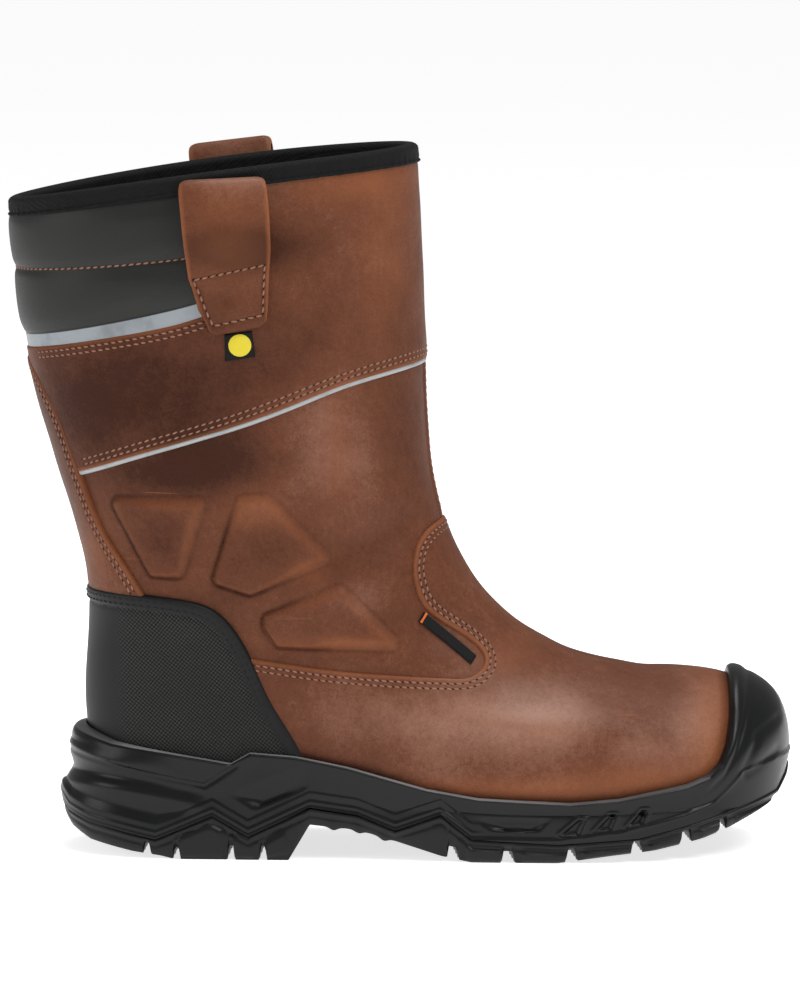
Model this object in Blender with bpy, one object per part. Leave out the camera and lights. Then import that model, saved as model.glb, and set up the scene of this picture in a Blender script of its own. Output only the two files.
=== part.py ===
"""Pull-on safety boot for the right foot: a hollow leather upper on a moulded midsole and a lugged outsole.

The toe points along +X, the outer side faces -Y and the boot stands on Z = 0. Sizes are in millimetres.
"""
from collections import namedtuple

import bpy
import numpy as np

MM = 0.001

# Rows of the tables
Profile = namedtuple("Profile", "name x z")
Width = namedtuple("Width", "at outer inner")
Rounding = namedtuple("Rounding", "level front back dip")
Wall = namedtuple("Wall", "x flange waist shoulder middle lip")
Height = namedtuple("Height", "x z")
Groove = namedtuple("Groove", "x width depth sweep")
Loop = namedtuple("Loop", "name side lift slope")
Strap = namedtuple("Strap", "z out hole_z hole_out")
Finish = namedtuple("Finish", "color roughness")

# Thicknesses and clearances
UPPER_WALL = 2.2
GAP = 0.3
EDGE_GAP = 0.5
OVERLAY = 2.0
BAND_THICK = 1.3
PIPING_INSIDE = 1.1
PIPING_THICK = 2.0
LABEL_THICK = 0.8
INSOLE_THICK = 4.0
LAST_CLEARANCE = OVERLAY + GAP
STRIP_INSIDE = 0.5

# Reach of the cutting forms past the boot's sides and ends, and their heights below the upper and the ground
SIDE_REACH = 90.0
END_REACH = 190.0
BELOW_UPPER = 5.0
BELOW_GROUND = -5.0

# Outline of the upper from the side: up the toe and the front, and up the heel and the back
FRONT_PROFILE = [
    Profile("toe_feather", 156.5, 27.0),
    Profile("toe_tip", 160.5, 43.0),
    Profile("toe_shoulder", 156.0, 58.5),
    Profile("toe_top", 147.5, 67.2),
    Profile("cap_edge", 134.0, 72.4),
    Profile("vamp_front", 107.0, 75.4),
    Profile("vamp_mid", 83.0, 79.2),
    Profile("vamp_rear", 64.0, 86.2),
    Profile("instep_low", 44.0, 99.3),
    Profile("instep_high", 23.6, 125.4),
    Profile("shaft_low", 13.4, 160.0),
    Profile("panel_edge", 9.8, 210.0),
    Profile("collar_front", 5.6, 297.5),
]
BACK_PROFILE = [
    Profile("heel_feather", -127.5, 30.0),
    Profile("heel_bulge", -132.2, 62.0),
    Profile("counter_top", -130.6, 110.0),
    Profile("calf_low", -139.4, 152.0),
    Profile("calf_high", -154.4, 204.0),
    Profile("pad", -160.6, 245.0),
    Profile("collar_back", -163.4, 275.0),
]

# Half widths of the foot along its length and of the shaft up its height
FOOT_WIDTHS = [
    Width(-132.0, 33.0, 33.0),
    Width(-100.0, 35.0, 34.5),
    Width(-35.0, 38.5, 35.5),
    Width(35.0, 47.5, 43.5),
    Width(75.0, 50.5, 47.0),
    Width(120.0, 48.5, 46.5),
    Width(162.0, 43.0, 42.0),
]
SHAFT_WIDTHS = [
    Width(90.0, 41.0, 40.0),
    Width(135.0, 44.0, 43.5),
    Width(180.0, 48.5, 48.5),
    Width(215.0, 51.0, 51.0),
    Width(300.0, 53.0, 53.0),
]
FOOT_TOP = 50.0
SHAFT_START = 128.0

# How deep behind the front and before the back the boot reaches its full width, and how far each loop sags
ROUNDINGS = [
    Rounding(0.00, 62.0, 50.0, 8.0),
    Rounding(0.05, 66.0, 51.0, 9.0),
    Rounding(0.10, 80.0, 52.0, 10.0),
    Rounding(0.15, 76.0, 53.0, 11.2),
    Rounding(0.20, 65.0, 54.0, 12.0),
    Rounding(0.30, 62.0, 58.0, 10.0),
    Rounding(0.45, 84.0, 70.0, 4.0),
    Rounding(0.60, 98.0, 86.0, 0.0),
    Rounding(1.00, 108.0, 108.0, 0.0),
]
SAG_SCALE = 6.75
TOE_SWING = 9.0
SWING_START = -30.0
SWING_RUN = 190.0
TUCK = 0.09
TUCK_BOTTOM = 20.0
TUCK_HEIGHT = 22.0

# Stations along the feather edge, from heel to toe, and levels from feather edge to collar
STATIONS = [-127.5, -126.4, -123.0, -116.0, -103.0, -95.0, -79.0, -64.0, -47.0, -38.0, -18.0, -2.0, 17.0,
            30.0, 46.0, 66.0, 84.0, 102.0, 118.0, 130.0, 138.0, 146.0, 152.0, 155.4, 156.5]
LEVELS = [0.0, 0.045, 0.085, 0.125, 0.17, 0.22, 0.30, 0.38, 0.46, 0.54, 0.65, 0.82, 1.0]
LAST_TOP = 0.4
LEAN_REACH = 0.03
TANGENT_STEP = 0.004
HALVINGS = 40
CHORD_POWER = 0.7
CURVE_DENSITY = 40

# Sole: rim of the midsole, line between midsole and outsole, and underside, along the boot
RIM = [
    Height(-140.0, 57.0),
    Height(-130.0, 53.0),
    Height(-118.0, 48.9),
    Height(-96.0, 45.2),
    Height(-71.0, 41.0),
    Height(-63.0, 45.6),
    Height(-44.0, 44.2),
    Height(-21.0, 39.9),
    Height(11.5, 31.5),
    Height(33.0, 28.0),
    Height(71.6, 26.2),
    Height(92.0, 27.9),
    Height(120.0, 33.4),
    Height(128.0, 36.4),
    Height(133.0, 41.0),
    Height(136.0, 48.0),
    Height(137.9, 58.0),
    Height(138.6, 67.0),
    Height(139.2, 90.0),
]
JOINT = [
    Height(-145.0, 23.0),
    Height(-140.0, 17.5),
    Height(-131.0, 14.3),
    Height(-120.0, 12.2),
    Height(-103.0, 8.6),
    Height(-79.0, 18.9),
    Height(-64.0, 10.2),
    Height(-38.0, 22.5),
    Height(-18.0, 19.7),
    Height(-2.0, 13.4),
    Height(17.0, 20.1),
    Height(30.0, 10.1),
    Height(66.0, 8.2),
    Height(100.0, 10.5),
    Height(121.0, 15.5),
    Height(138.0, 20.3),
    Height(153.0, 24.4),
    Height(160.5, 26.4),
    Height(164.7, 32.0),
    Height(166.0, 35.5),
]
GROUND = [
    Height(-144.0, 15.5),
    Height(-139.0, 10.3),
    Height(-131.0, 6.4),
    Height(-113.0, 2.9),
    Height(-101.0, 1.4),
    Height(-95.0, 0.0),
    Height(-47.0, 0.0),
    Height(-38.0, 15.2),
    Height(-18.0, 13.2),
    Height(-2.0, 8.6),
    Height(17.0, 2.6),
    Height(30.0, 0.0),
    Height(66.0, 0.0),
    Height(89.0, 3.0),
    Height(107.0, 5.0),
    Height(128.0, 9.3),
    Height(139.5, 13.2),
    Height(148.0, 16.7),
    Height(157.0, 20.8),
    Height(164.0, 28.0),
]
WALLS = [
    Wall(-127.5, 16.2, 15.2, 12.3, 9.4, 4.6),
    Wall(-112.0, 10.5, 9.8, 8.5, 7.2, 4.6),
    Wall(-60.0, 8.0, 7.5, 6.7, 6.0, 4.4),
    Wall(0.0, 7.0, 6.6, 6.1, 5.6, 4.4),
    Wall(70.0, 8.0, 7.6, 6.8, 6.0, 4.4),
    Wall(120.0, 8.5, 8.4, 7.3, 6.4, 4.6),
    Wall(156.5, 9.4, 9.0, 5.6, 5.4, 4.6),
]
SOLE_RINGS = [(0.30, "shoulder"), (0.62, "middle"), (0.86, "middle"), (1.00, "lip")]
WAIST_RISE = 1.5
RIM_SEARCH = np.linspace(0.004, 0.3, 900)
LIP_INSIDE = 1.2
UNDERCUT = 2.0
GROOVE_MIDDLE = 3.0
GROOVE_REACH = 83.0
GROOVES = [
    Groove(-108.5, 2.4, 4.6, 4.0),
    Groove(-96.0, 2.2, 5.0, 4.0),
    Groove(-73.0, 2.2, 6.0, 4.0),
    Groove(-59.5, 2.2, 6.0, 4.0),
    Groove(25.0, 3.8, 5.0, -7.0),
    Groove(48.0, 4.4, 5.0, -7.0),
    Groove(74.5, 3.6, 5.0, -7.0),
    Groove(102.0, 3.6, 5.0, -7.0),
    Groove(123.0, 4.0, 5.0, -7.0),
    Groove(139.0, 3.0, 5.0, -7.0),
]
CHANNEL_SIDES = [(-17.0, "outer"), (17.0, "inner")]
CHANNEL_WIDTH = 3.6
HEEL_CHANNEL = (-118.0, -30.0)
FORE_CHANNEL = (8.0, 142.0)
CHANNEL_TOP = 4.6

# Relief of the midsole's side: shallow pockets as side-view corners
POCKET_DEPTH = 1.6
POCKETS = {
    "heel_pocket": [(-68.0, 30.0), (-42.0, 26.5), (-48.0, 21.5), (-66.0, 24.0)],
    "ball_pocket": [(27.0, 21.0), (60.0, 18.5), (58.0, 13.5), (33.0, 14.5)],
}
RIB_START = 66.0
RIB_PITCH = 12.5
RIB_COUNT = 3
RIB_POCKET = [(0.0, 13.0), (5.5, 13.4), (9.5, 20.6), (4.0, 20.0)]

# Overlays: edges as seen from the side
EDGE_POINTS = 400
COUNTER_EDGE = [(-150.0, 112.0), (-117.0, 112.6), (-92.0, 110.6), (-78.0, 106.2), (-65.0, 90.4), (-54.6, 67.9),
                (-45.0, 51.9), (-36.0, 33.0), (-30.0, 15.0)]
VAMP_EDGE = [(-28.5, 80.4), (19.7, 76.9), (31.1, 77.9), (35.5, 83.2), (28.6, 92.3), (11.3, 104.8), (6.3, 114.8),
             (5.9, 129.0), (12.5, 138.5), (22.0, 142.0), (45.0, 147.0)]
STAY_EDGE = [(-160.5, 222.0), (-156.0, 211.0), (-145.2, 192.6), (-134.0, 163.0), (-123.2, 137.2),
             (-114.4, 123.9), (-105.5, 109.0)]
PIPING_EDGE = [(-140.0, 161.0), (-107.3, 172.4), (-60.3, 187.1), (-25.0, 200.4), (11.4, 209.0), (30.0, 212.0)]
BAND_LOW = [(-190.0, 208.2), (-135.0, 218.6), (-92.0, 227.5), (-83.5, 230.2)]
PAD_LOW = [(-190.0, 214.6), (-135.0, 224.5), (-92.0, 234.3), (-86.0, 236.0)]
OVERLAY_LEVELS = {
    "heel_counter": (0.0, 0.54),
    "vamp": (0.0, 0.65),
    "back_stay": (0.22, 1.0),
    "shaft_panel": (0.46, 1.0),
    "size_tag": (0.65, 1.0),
    "side_flag": (0.22, 0.54),
}
COUNTER_MEETS_VAMP = 83.0
PANEL_FRONT = 30.0
PANEL_REAR_TOP = 290.0
PANEL_REAR = (247.0, 230.0)
PIPING_WIDTH = 2.4
PIPING_COLUMNS = 17
BAND_COLUMNS = 8
STRIP_ROWS = 2
WRAP_PASSES = 5

# Points kept of each smooth edge
COUNTER_POINTS = 13
COUNTER_FRONT_POINTS = 6
VAMP_POINTS = 18
STAY_POINTS = 7
STAY_END_POINTS = 3
PANEL_LOW_POINTS = 9
PANEL_SIDE_POINTS = 5

# Collar pad: two rolls with a sewn line between them, flatter towards both ends
PAD_CLEAR = 1.7
PAD_ROLL = 2.4
PAD_SEAM = 0.46
PAD_EDGE = 0.9
PAD_END_RUN = 0.2
PAD_END_LEAST = 0.35
PAD_ROWS = 7
PAD_COLUMNS = 7

# Raised pads of the quarters, the same on both sides
RAISED_LEVELS = (0.17, 0.65)
PADS_RAISED = {
    "rear": [(-120.2, 153.4), (-80.2, 154.4), (-91.0, 119.6), (-104.6, 120.2), (-120.4, 149.8)],
    "middle": [(-67.4, 155.0), (-54.6, 155.6), (-30.6, 128.6), (-62.8, 112.9), (-78.8, 117.8)],
    "front": [(-57.5, 103.6), (-24.5, 117.2), (0.0, 90.6), (-51.7, 90.2), (-57.5, 99.0)],
}
PAD_RAISE = 0.9
PAD_ROOT = -0.9

# Collar binding: outline of its section, out from the upper's face and up from its top edge
BINDING_TALL = 5.6
BINDING_TOP = 2.4
BINDING_SECTION = [(GAP, -BINDING_TALL), (1.8, -BINDING_TALL), (0.9, BINDING_TOP), (-3.1, BINDING_TOP),
                   (-4.0, -BINDING_TALL), (-UPPER_WALL - GAP, -BINDING_TALL), (-UPPER_WALL - GAP, GAP), (GAP, GAP)]

# Pull loops: a folded strap on a sewn foot, by height and by distance out from the upper
LOOPS = [Loop("pull_loop_outer", -1.0, -0.5, 0.045), Loop("pull_loop_inner", 1.0, 9.0, 0.125)]
LOOP_LEFT = [(220.0, -78.0), (229.0, -81.2), (247.0, -87.4), (259.0, -88.4), (289.0, -90.8)]
LOOP_RIGHT = [(224.0, -55.3), (259.0, -54.8), (289.0, -56.6)]
LOOP_MIDDLE = -72.0
LOOP_FOOT_SLOPE = 0.19
LOOP_COLUMNS = 4
LOOP_LEVEL_FROM = 240.0
LOOP_LIFTED_ABOVE = 258.0
STRAP = [
    Strap(225.3, 2.5, 249.4, 4.9),
    Strap(246.0, 2.5, 250.4, 4.4),
    Strap(259.0, 2.5, 259.0, 4.3),
    Strap(282.0, 2.7, 281.5, 4.5),
    Strap(287.6, 4.6, 285.6, 5.7),
    Strap(289.0, 7.6, 287.0, 7.8),
    Strap(287.0, 11.4, 285.2, 10.2),
    Strap(279.0, 13.5, 278.4, 11.7),
    Strap(268.0, 13.3, 268.0, 11.5),
    Strap(257.0, 10.6, 257.6, 8.8),
    Strap(247.0, 6.4, 252.0, 6.0),
    Strap(238.0, 4.6, 250.2, 5.3),
    Strap(225.3, 4.4, 249.2, 5.1),
]

# Small sewn labels, as corners on the outer side
TAG = [(-72.6, 222.7), (-72.2, 211.7), (-60.2, 213.7), (-61.8, 223.7)]
FLAG = [(9.9, 104.3), (7.4, 100.3), (29.8, 82.0), (32.2, 85.6)]

FINISHES = {
    "brown_leather": Finish((0.17, 0.068, 0.028), 0.5),
    "black_counter": Finish((0.02, 0.02, 0.021), 0.5),
    "black_rubber": Finish((0.016, 0.016, 0.017), 0.42),
    "black_padding": Finish((0.03, 0.03, 0.032), 0.55),
    "reflective_tape": Finish((0.32, 0.34, 0.37), 0.35),
    "black_webbing": Finish((0.022, 0.022, 0.024), 0.75),
    "footbed_felt": Finish((0.06, 0.06, 0.065), 0.9),
}
SHARP_ANGLE = np.radians(35.0)


def column(table, name):
    """One named column of a table, as numbers."""
    return np.array([getattr(row, name) for row in table], float)


def spline(knots, values, at):
    """Natural cubic curve through values at knots, held level beyond its ends."""
    gaps = np.diff(knots)
    slopes = np.diff(values) / gaps
    system = np.eye(len(knots))
    bends = np.zeros(len(knots))
    for i in range(1, len(knots) - 1):
        system[i, i - 1:i + 2] = gaps[i - 1], 2 * (gaps[i - 1] + gaps[i]), gaps[i]
        bends[i] = 6 * (slopes[i] - slopes[i - 1])
    bends = np.linalg.solve(system, bends)
    at = np.clip(at, knots[0], knots[-1])
    i = np.clip(np.searchsorted(knots, at, side="right") - 1, 0, len(gaps) - 1)
    before = (knots[i + 1] - at) / gaps[i]
    after = 1 - before
    bow = (before ** 3 - before) * bends[i] + (after ** 3 - after) * bends[i + 1]
    return before * values[i] + after * values[i + 1] + bow * gaps[i] ** 2 / 6


def smooth_line(points, count):
    """Points spread evenly along a smooth curve through the given side-view points."""
    points = np.array(points, float)
    chords = np.linalg.norm(np.diff(points, axis=0), axis=1)
    reach = np.concatenate([[0.0], np.cumsum(chords ** CHORD_POWER)])
    dense = np.linspace(0, reach[-1], CURVE_DENSITY * len(points))
    curve = np.stack([spline(reach, points[:, axis], dense) for axis in (0, 1)], 1)
    length = np.concatenate([[0.0], np.cumsum(np.linalg.norm(np.diff(curve, axis=0), axis=1))])
    even = np.linspace(0, length[-1], count)
    return np.stack([np.interp(even, length, curve[:, axis]) for axis in (0, 1)], 1)


CURVE_POINTS = 1200
CURVE_LEVELS = np.linspace(0, 1, CURVE_POINTS)
FRONT = smooth_line([(row.x, row.z) for row in FRONT_PROFILE], CURVE_POINTS)
BACK = smooth_line([(row.x, row.z) for row in BACK_PROFILE], CURVE_POINTS)


def at_level(curve, v):
    """Side-view point of a profile at level v."""
    return np.interp(v, CURVE_LEVELS, curve[:, 0]), np.interp(v, CURVE_LEVELS, curve[:, 1])


def rounding(name, v):
    """One column of the roundings at level v."""
    return spline(column(ROUNDINGS, "level"), column(ROUNDINGS, name), v)


def trace(s, v):
    """Side-view point at fraction s from back to front on the loop round the boot at level v."""
    back_x, back_z = at_level(BACK, v)
    front_x, front_z = at_level(FRONT, v)
    sag = rounding("dip", v) * SAG_SCALE * s * s * (1 - s)
    return back_x + (front_x - back_x) * s, back_z + (front_z - back_z) * s - sag


def lean(v):
    """Sine of the angle at which the loop at level v meets the front profile."""
    above_x, above_z = at_level(FRONT, np.clip(v + LEAN_REACH, 0, 1))
    below_x, below_z = at_level(FRONT, np.clip(v - LEAN_REACH, 0, 1))
    back_x, back_z = at_level(BACK, v)
    front_x, front_z = at_level(FRONT, v)
    rise_x, rise_z = above_x - below_x, above_z - below_z
    run_x, run_z = front_x - back_x, front_z - back_z + SAG_SCALE * rounding("dip", v)
    cross = run_x * rise_z - run_z * rise_x
    return cross / (np.hypot(rise_x, rise_z) * np.hypot(run_x, run_z))


def swell(t):
    """Share of the full width at depth t of the rounding, from 0 at its edge to 1."""
    return np.sqrt(1 - (1 - np.clip(t, 0, 1)) ** 3)


def half_width(s, v, name):
    """Half the boot's width at fraction s of the loop at level v, on the named side."""
    x, z = trace(s, v)
    foot = spline(column(FOOT_WIDTHS, "at"), column(FOOT_WIDTHS, name), x)
    shaft = spline(column(SHAFT_WIDTHS, "at"), column(SHAFT_WIDTHS, name), z)
    climb = np.clip((z - FOOT_TOP) / (SHAFT_START - FOOT_TOP), 0, 1)
    width = foot + (shaft - foot) * climb ** 3 * (climb * (6 * climb - 15) + 10)
    length = at_level(FRONT, v)[0] - at_level(BACK, v)[0]
    front = swell((1 - s) * length * lean(v) / rounding("front", v))
    back = swell(s * length / rounding("back", v))
    low = np.clip((z - TUCK_BOTTOM) / TUCK_HEIGHT, 0, 1)
    return width * front * back * (1 - TUCK * (1 - low) ** 2)


def point(turn, v):
    """Point of the upper's outer face: turn goes once round from the back by the outer side, v from 0 to 1."""
    turn = np.mod(turn, 2 * np.pi)
    s = (1 - np.cos(turn)) / 2
    x, z = trace(s, v)
    y = np.where(turn > np.pi, half_width(s, v, "inner"), -half_width(s, v, "outer"))
    swing = TOE_SWING * (np.clip(x - SWING_START, 0, None) / SWING_RUN) ** 2
    return np.stack([x, y + swing, z], -1)


def frame_at(turn, v):
    """Point of the outer face with its outward normal and its upward tangent."""
    across = point(turn + TANGENT_STEP, v) - point(turn - TANGENT_STEP, v)
    up = point(turn, np.clip(v + TANGENT_STEP, 0, 1)) - point(turn, np.clip(v - TANGENT_STEP, 0, 1))
    normal = np.cross(across, up)
    normal /= np.linalg.norm(normal, axis=-1, keepdims=True)
    return point(turn, v), normal, up / np.linalg.norm(up, axis=-1, keepdims=True)


def locate(x, z):
    """Fraction and level of the side-view point (x, z), found by halving."""
    low = np.zeros_like(x, float)
    high = np.ones_like(x, float)
    for _ in range(HALVINGS):
        v = (low + high) / 2
        back_x, front_x = at_level(BACK, v)[0], at_level(FRONT, v)[0]
        s = np.clip((x - back_x) / (front_x - back_x), 0, 1)
        below = trace(s, v)[1] < z
        low = np.where(below, v, low)
        high = np.where(below, high, v)
    return s, low


def turn_of(s, side):
    """Turn of fraction s, on the outer side for -1 or on the inner side for 1."""
    turn = np.arccos(np.clip(1 - 2 * s, -1, 1))
    return np.where(side < 0, turn, 2 * np.pi - turn)


def out_from(x, z, side, offset):
    """Point at a distance out from the upper where its side view shows (x, z), also above the collar."""
    top = collar_height(x) - EDGE_GAP
    s, v = locate(x, np.minimum(z, top))
    place, normal, _ = frame_at(turn_of(s, side), v)
    place = place + normal * np.asarray(offset)[..., None]
    place[..., 2] += np.maximum(z - top, 0)
    return place


def collar_height(x):
    """Height of the upper's top edge above a place along the boot."""
    fraction = (x - BACK[-1, 0]) / (FRONT[-1, 0] - BACK[-1, 0])
    return BACK[-1, 1] + (FRONT[-1, 1] - BACK[-1, 1]) * np.clip(fraction, 0, 1)


def binding_low(x):
    """Height just below the binding's lower edge above a place along the boot."""
    return collar_height(x) - BINDING_TALL - 2 * GAP


def loop_left(z):
    """Rear edge of the pull loops at a height."""
    return np.interp(z, *zip(*LOOP_LEFT))


def loop_right(z):
    """Front edge of the pull loops at a height."""
    return np.interp(z, *zip(*LOOP_RIGHT))


def station_turns():
    """Turns of the stations, once round from the back by the outer side."""
    s = (np.array(STATIONS) - STATIONS[0]) / (STATIONS[-1] - STATIONS[0])
    outer = np.arccos(np.clip(1 - 2 * s, -1, 1))
    return np.concatenate([outer, 2 * np.pi - outer[-2:0:-1]])


TURNS = station_turns()
ROUND = len(TURNS)


def levels_in(lowest, highest):
    """Levels of the upper from one level to another."""
    return [level for level in LEVELS if lowest <= level <= highest]


def rings(offset, levels):
    """Rings of points at a distance out from the upper, one ring for each level."""
    levels = np.array(levels)
    place, normal, _ = frame_at(*np.broadcast_arrays(TURNS[None, :], levels[:, None]))
    return place + normal * offset


def between(rows):
    """Triangles that join each ring of points to the ring after it."""
    near = np.arange(ROUND)
    far = (near + 1) % ROUND
    faces = []
    for row in range(rows - 1):
        low = row * ROUND
        high = low + ROUND
        faces += np.stack([low + near, low + far, high + far], 1).tolist()
        faces += np.stack([low + near, high + far, high + near], 1).tolist()
    return faces


def ladder(row, upward):
    """Triangles that close a ring by rungs from its outer side to its inner side."""
    start = row * ROUND
    half = ROUND // 2
    faces = []
    for i in range(half):
        a, b = i, i + 1
        c, d = (ROUND - i - 1) % ROUND, (ROUND - i) % ROUND
        if b != c:
            faces.append([a, b, c])
        if a != d:
            faces.append([a, c, d])
    ordered = faces if upward else [face[::-1] for face in faces]
    return [[start + corner for corner in face] for face in ordered]


def material(name):
    """Material of a named finish."""
    found = bpy.data.materials.get(name)
    if found:
        return found
    made = bpy.data.materials.new(name)
    made.use_nodes = True
    shader = made.node_tree.nodes["Principled BSDF"]
    shader.inputs["Base Color"].default_value = (*FINISHES[name].color, 1.0)
    shader.inputs["Roughness"].default_value = FINISHES[name].roughness
    return made


def add_solid(name, points, faces, finish):
    """Object of a closed mesh, from points in millimetres."""
    mesh = bpy.data.meshes.new(name)
    mesh.from_pydata((np.asarray(points).reshape(-1, 3) * MM).tolist(), [], faces)
    mesh.materials.append(material(finish))
    mesh.shade_smooth()
    mesh.set_sharp_from_angle(angle=SHARP_ANGLE)
    made = bpy.data.objects.new(name, mesh)
    bpy.context.scene.collection.objects.link(made)
    return made


def as_cutter(solid):
    """Keeps a solid as a guide for cutting, not as a piece."""
    solid.hide_render = True
    solid.display_type = "WIRE"
    return solid


def cut(solid, cutter, operation):
    """Cuts, joins or trims a solid by a cutter."""
    change = solid.modifiers.new(cutter.name, "BOOLEAN")
    change.operation = operation
    change.solver = "EXACT"
    change.object = cutter


def prism(name, outline, lowest, highest, finish, along):
    """Straight solid over an outline, run along Y over a side view or along Z over a plan view."""
    outline = np.array(outline, float)
    count = len(outline)
    ends = []
    for level in (lowest, highest):
        other = np.full(count, level)
        if along == "Y":
            ends.append(np.stack([outline[:, 0], other, outline[:, 1]], 1))
        else:
            ends.append(np.stack([outline[:, 0], outline[:, 1], other], 1))
    after = np.roll(outline, -1, axis=0)
    area = np.sum(outline[:, 0] * after[:, 1] - outline[:, 1] * after[:, 0])
    faces = [list(range(count))[::-1], list(range(count, 2 * count))]
    for i in range(count):
        j = (i + 1) % count
        faces.append([i, j, count + j, count + i])
    counterclockwise = area > 0
    if counterclockwise == (along == "Y"):
        faces = [face[::-1] for face in faces]
    return as_cutter(add_solid(name, np.concatenate(ends), faces, finish))


def side_cutter(name, outline, finish):
    """Cutter over a side-view outline, right through the boot."""
    return prism(name, outline, -SIDE_REACH, SIDE_REACH, finish, "Y")


def shell_solid(name, inside, outside, levels, finish):
    """Hollow wall between two distances out from the upper, open at its first and last level."""
    outer = rings(outside, levels)
    inner = rings(inside, levels)
    rows = len(levels)
    faces = between(rows)
    faces += [[corner + rows * ROUND for corner in face[::-1]] for face in between(rows)]
    near = np.arange(ROUND)
    far = (near + 1) % ROUND
    low = rows * ROUND
    top = (rows - 1) * ROUND
    faces += np.stack([near, low + near, low + far], 1).tolist()
    faces += np.stack([near, low + far, far], 1).tolist()
    faces += np.stack([top + near, top + far, low + top + far], 1).tolist()
    faces += np.stack([top + near, low + top + far, low + top + near], 1).tolist()
    return add_solid(name, np.concatenate([outer.reshape(-1, 3), inner.reshape(-1, 3)]), faces, finish)


def filled_solid(name, stack, finish):
    """Filled solid through a stack of rings, closed by rungs at both ends."""
    faces = between(len(stack)) + ladder(0, False) + ladder(len(stack) - 1, True)
    return add_solid(name, np.asarray(stack), faces, finish)


def last_form(name, offset):
    """Filled form of the foot at a distance out from the upper, run on a gap below its feather edge."""
    stack = rings(offset, levels_in(0.0, LAST_TOP))
    _, _, up = frame_at(TURNS, np.zeros(ROUND))
    stack[0] -= up * GAP
    return as_cutter(filled_solid(name, stack, "footbed_felt"))


def build_upper():
    """Quarters and shaft as one hollow wall, with three raised pads on each side."""
    upper = shell_solid("upper", -UPPER_WALL, 0.0, LEVELS, "brown_leather")
    for name, outline in PADS_RAISED.items():
        levels = levels_in(*RAISED_LEVELS)
        pad = as_cutter(shell_solid(f"raised_pad_{name}", PAD_ROOT, PAD_RAISE, levels, "brown_leather"))
        cut(pad, side_cutter(f"raised_pad_outline_{name}", outline, "brown_leather"), "INTERSECT")
        cut(upper, pad, "UNION")


def build_insole():
    """Footbed inside the upper, on the midsole."""
    bottom = rings(-UPPER_WALL - GAP, LEVELS[:1])[0]
    top = bottom.copy()
    top[:, 2] += INSOLE_THICK
    filled_solid("insole", [bottom, top], "footbed_felt")


def plan_normals(place):
    """Level outward directions round a ring of points."""
    across = np.roll(place, -1, axis=0) - np.roll(place, 1, axis=0)
    out = np.stack([across[:, 1], -across[:, 0], np.zeros(len(place))], 1)
    return out / np.linalg.norm(out, axis=1, keepdims=True)


def heights(table, x):
    """Height from a table along the boot, by straight runs."""
    return np.interp(x, column(table, "x"), column(table, "z"))


def rim_levels():
    """Level of the midsole's rim at each station: the first that reaches the rim's height."""
    s = (1 - np.cos(TURNS)) / 2
    x, z = trace(*np.broadcast_arrays(s[:, None], RIM_SEARCH[None, :]))
    return RIM_SEARCH[np.argmax(z >= heights(RIM, x), axis=1)]


def wall_offsets(name):
    """One column of the wall's offsets at each station."""
    x = point(TURNS, np.zeros(ROUND))[:, 0]
    return spline(column(WALLS, "x"), column(WALLS, name), x)


def flange_ring(table, inset, drop):
    """Ring of the sole's edge, moved in and down, with the heights of a table."""
    feather = point(TURNS, np.zeros(ROUND))
    ring = feather + plan_normals(feather) * (wall_offsets("flange") - inset)[:, None]
    ring[:, 2] = heights(table, ring[:, 0]) - drop
    return ring


def sole_form(name, inset):
    """Outer form of midsole and toe bumper, filled, from the joint line up to the rim."""
    feather = point(TURNS, np.zeros(ROUND))
    flange = flange_ring(JOINT, inset, 0.0)
    waist = feather + plan_normals(feather) * (wall_offsets("waist") - inset)[:, None]
    waist[:, 2] = np.maximum(waist[:, 2], flange[:, 2] + WAIST_RISE)
    stack = [flange, waist]
    rim = rim_levels()
    for share, part in SOLE_RINGS:
        place, normal, _ = frame_at(TURNS, rim * share)
        stack.append(place + normal * (wall_offsets(part) - inset)[:, None])
    place, normal, _ = frame_at(TURNS, rim)
    stack.append(place + normal * (LIP_INSIDE - inset))
    return filled_solid(name, stack, "black_rubber")


def build_midsole():
    """Midsole with its toe bumper: the outer form less the last, with pockets in its side."""
    midsole = sole_form("midsole", 0.0)
    cut(midsole, last_form("last", LAST_CLEARANCE), "DIFFERENCE")
    core = as_cutter(sole_form("midsole_core", POCKET_DEPTH))
    pockets = dict(POCKETS)
    for i in range(RIB_COUNT):
        pockets[f"rib_pocket_{i}"] = [(x + RIB_START + i * RIB_PITCH, z) for x, z in RIB_POCKET]
    for name, outline in pockets.items():
        pocket = side_cutter(name, outline, "black_rubber")
        cut(pocket, core, "DIFFERENCE")
        cut(midsole, pocket, "DIFFERENCE")


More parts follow.
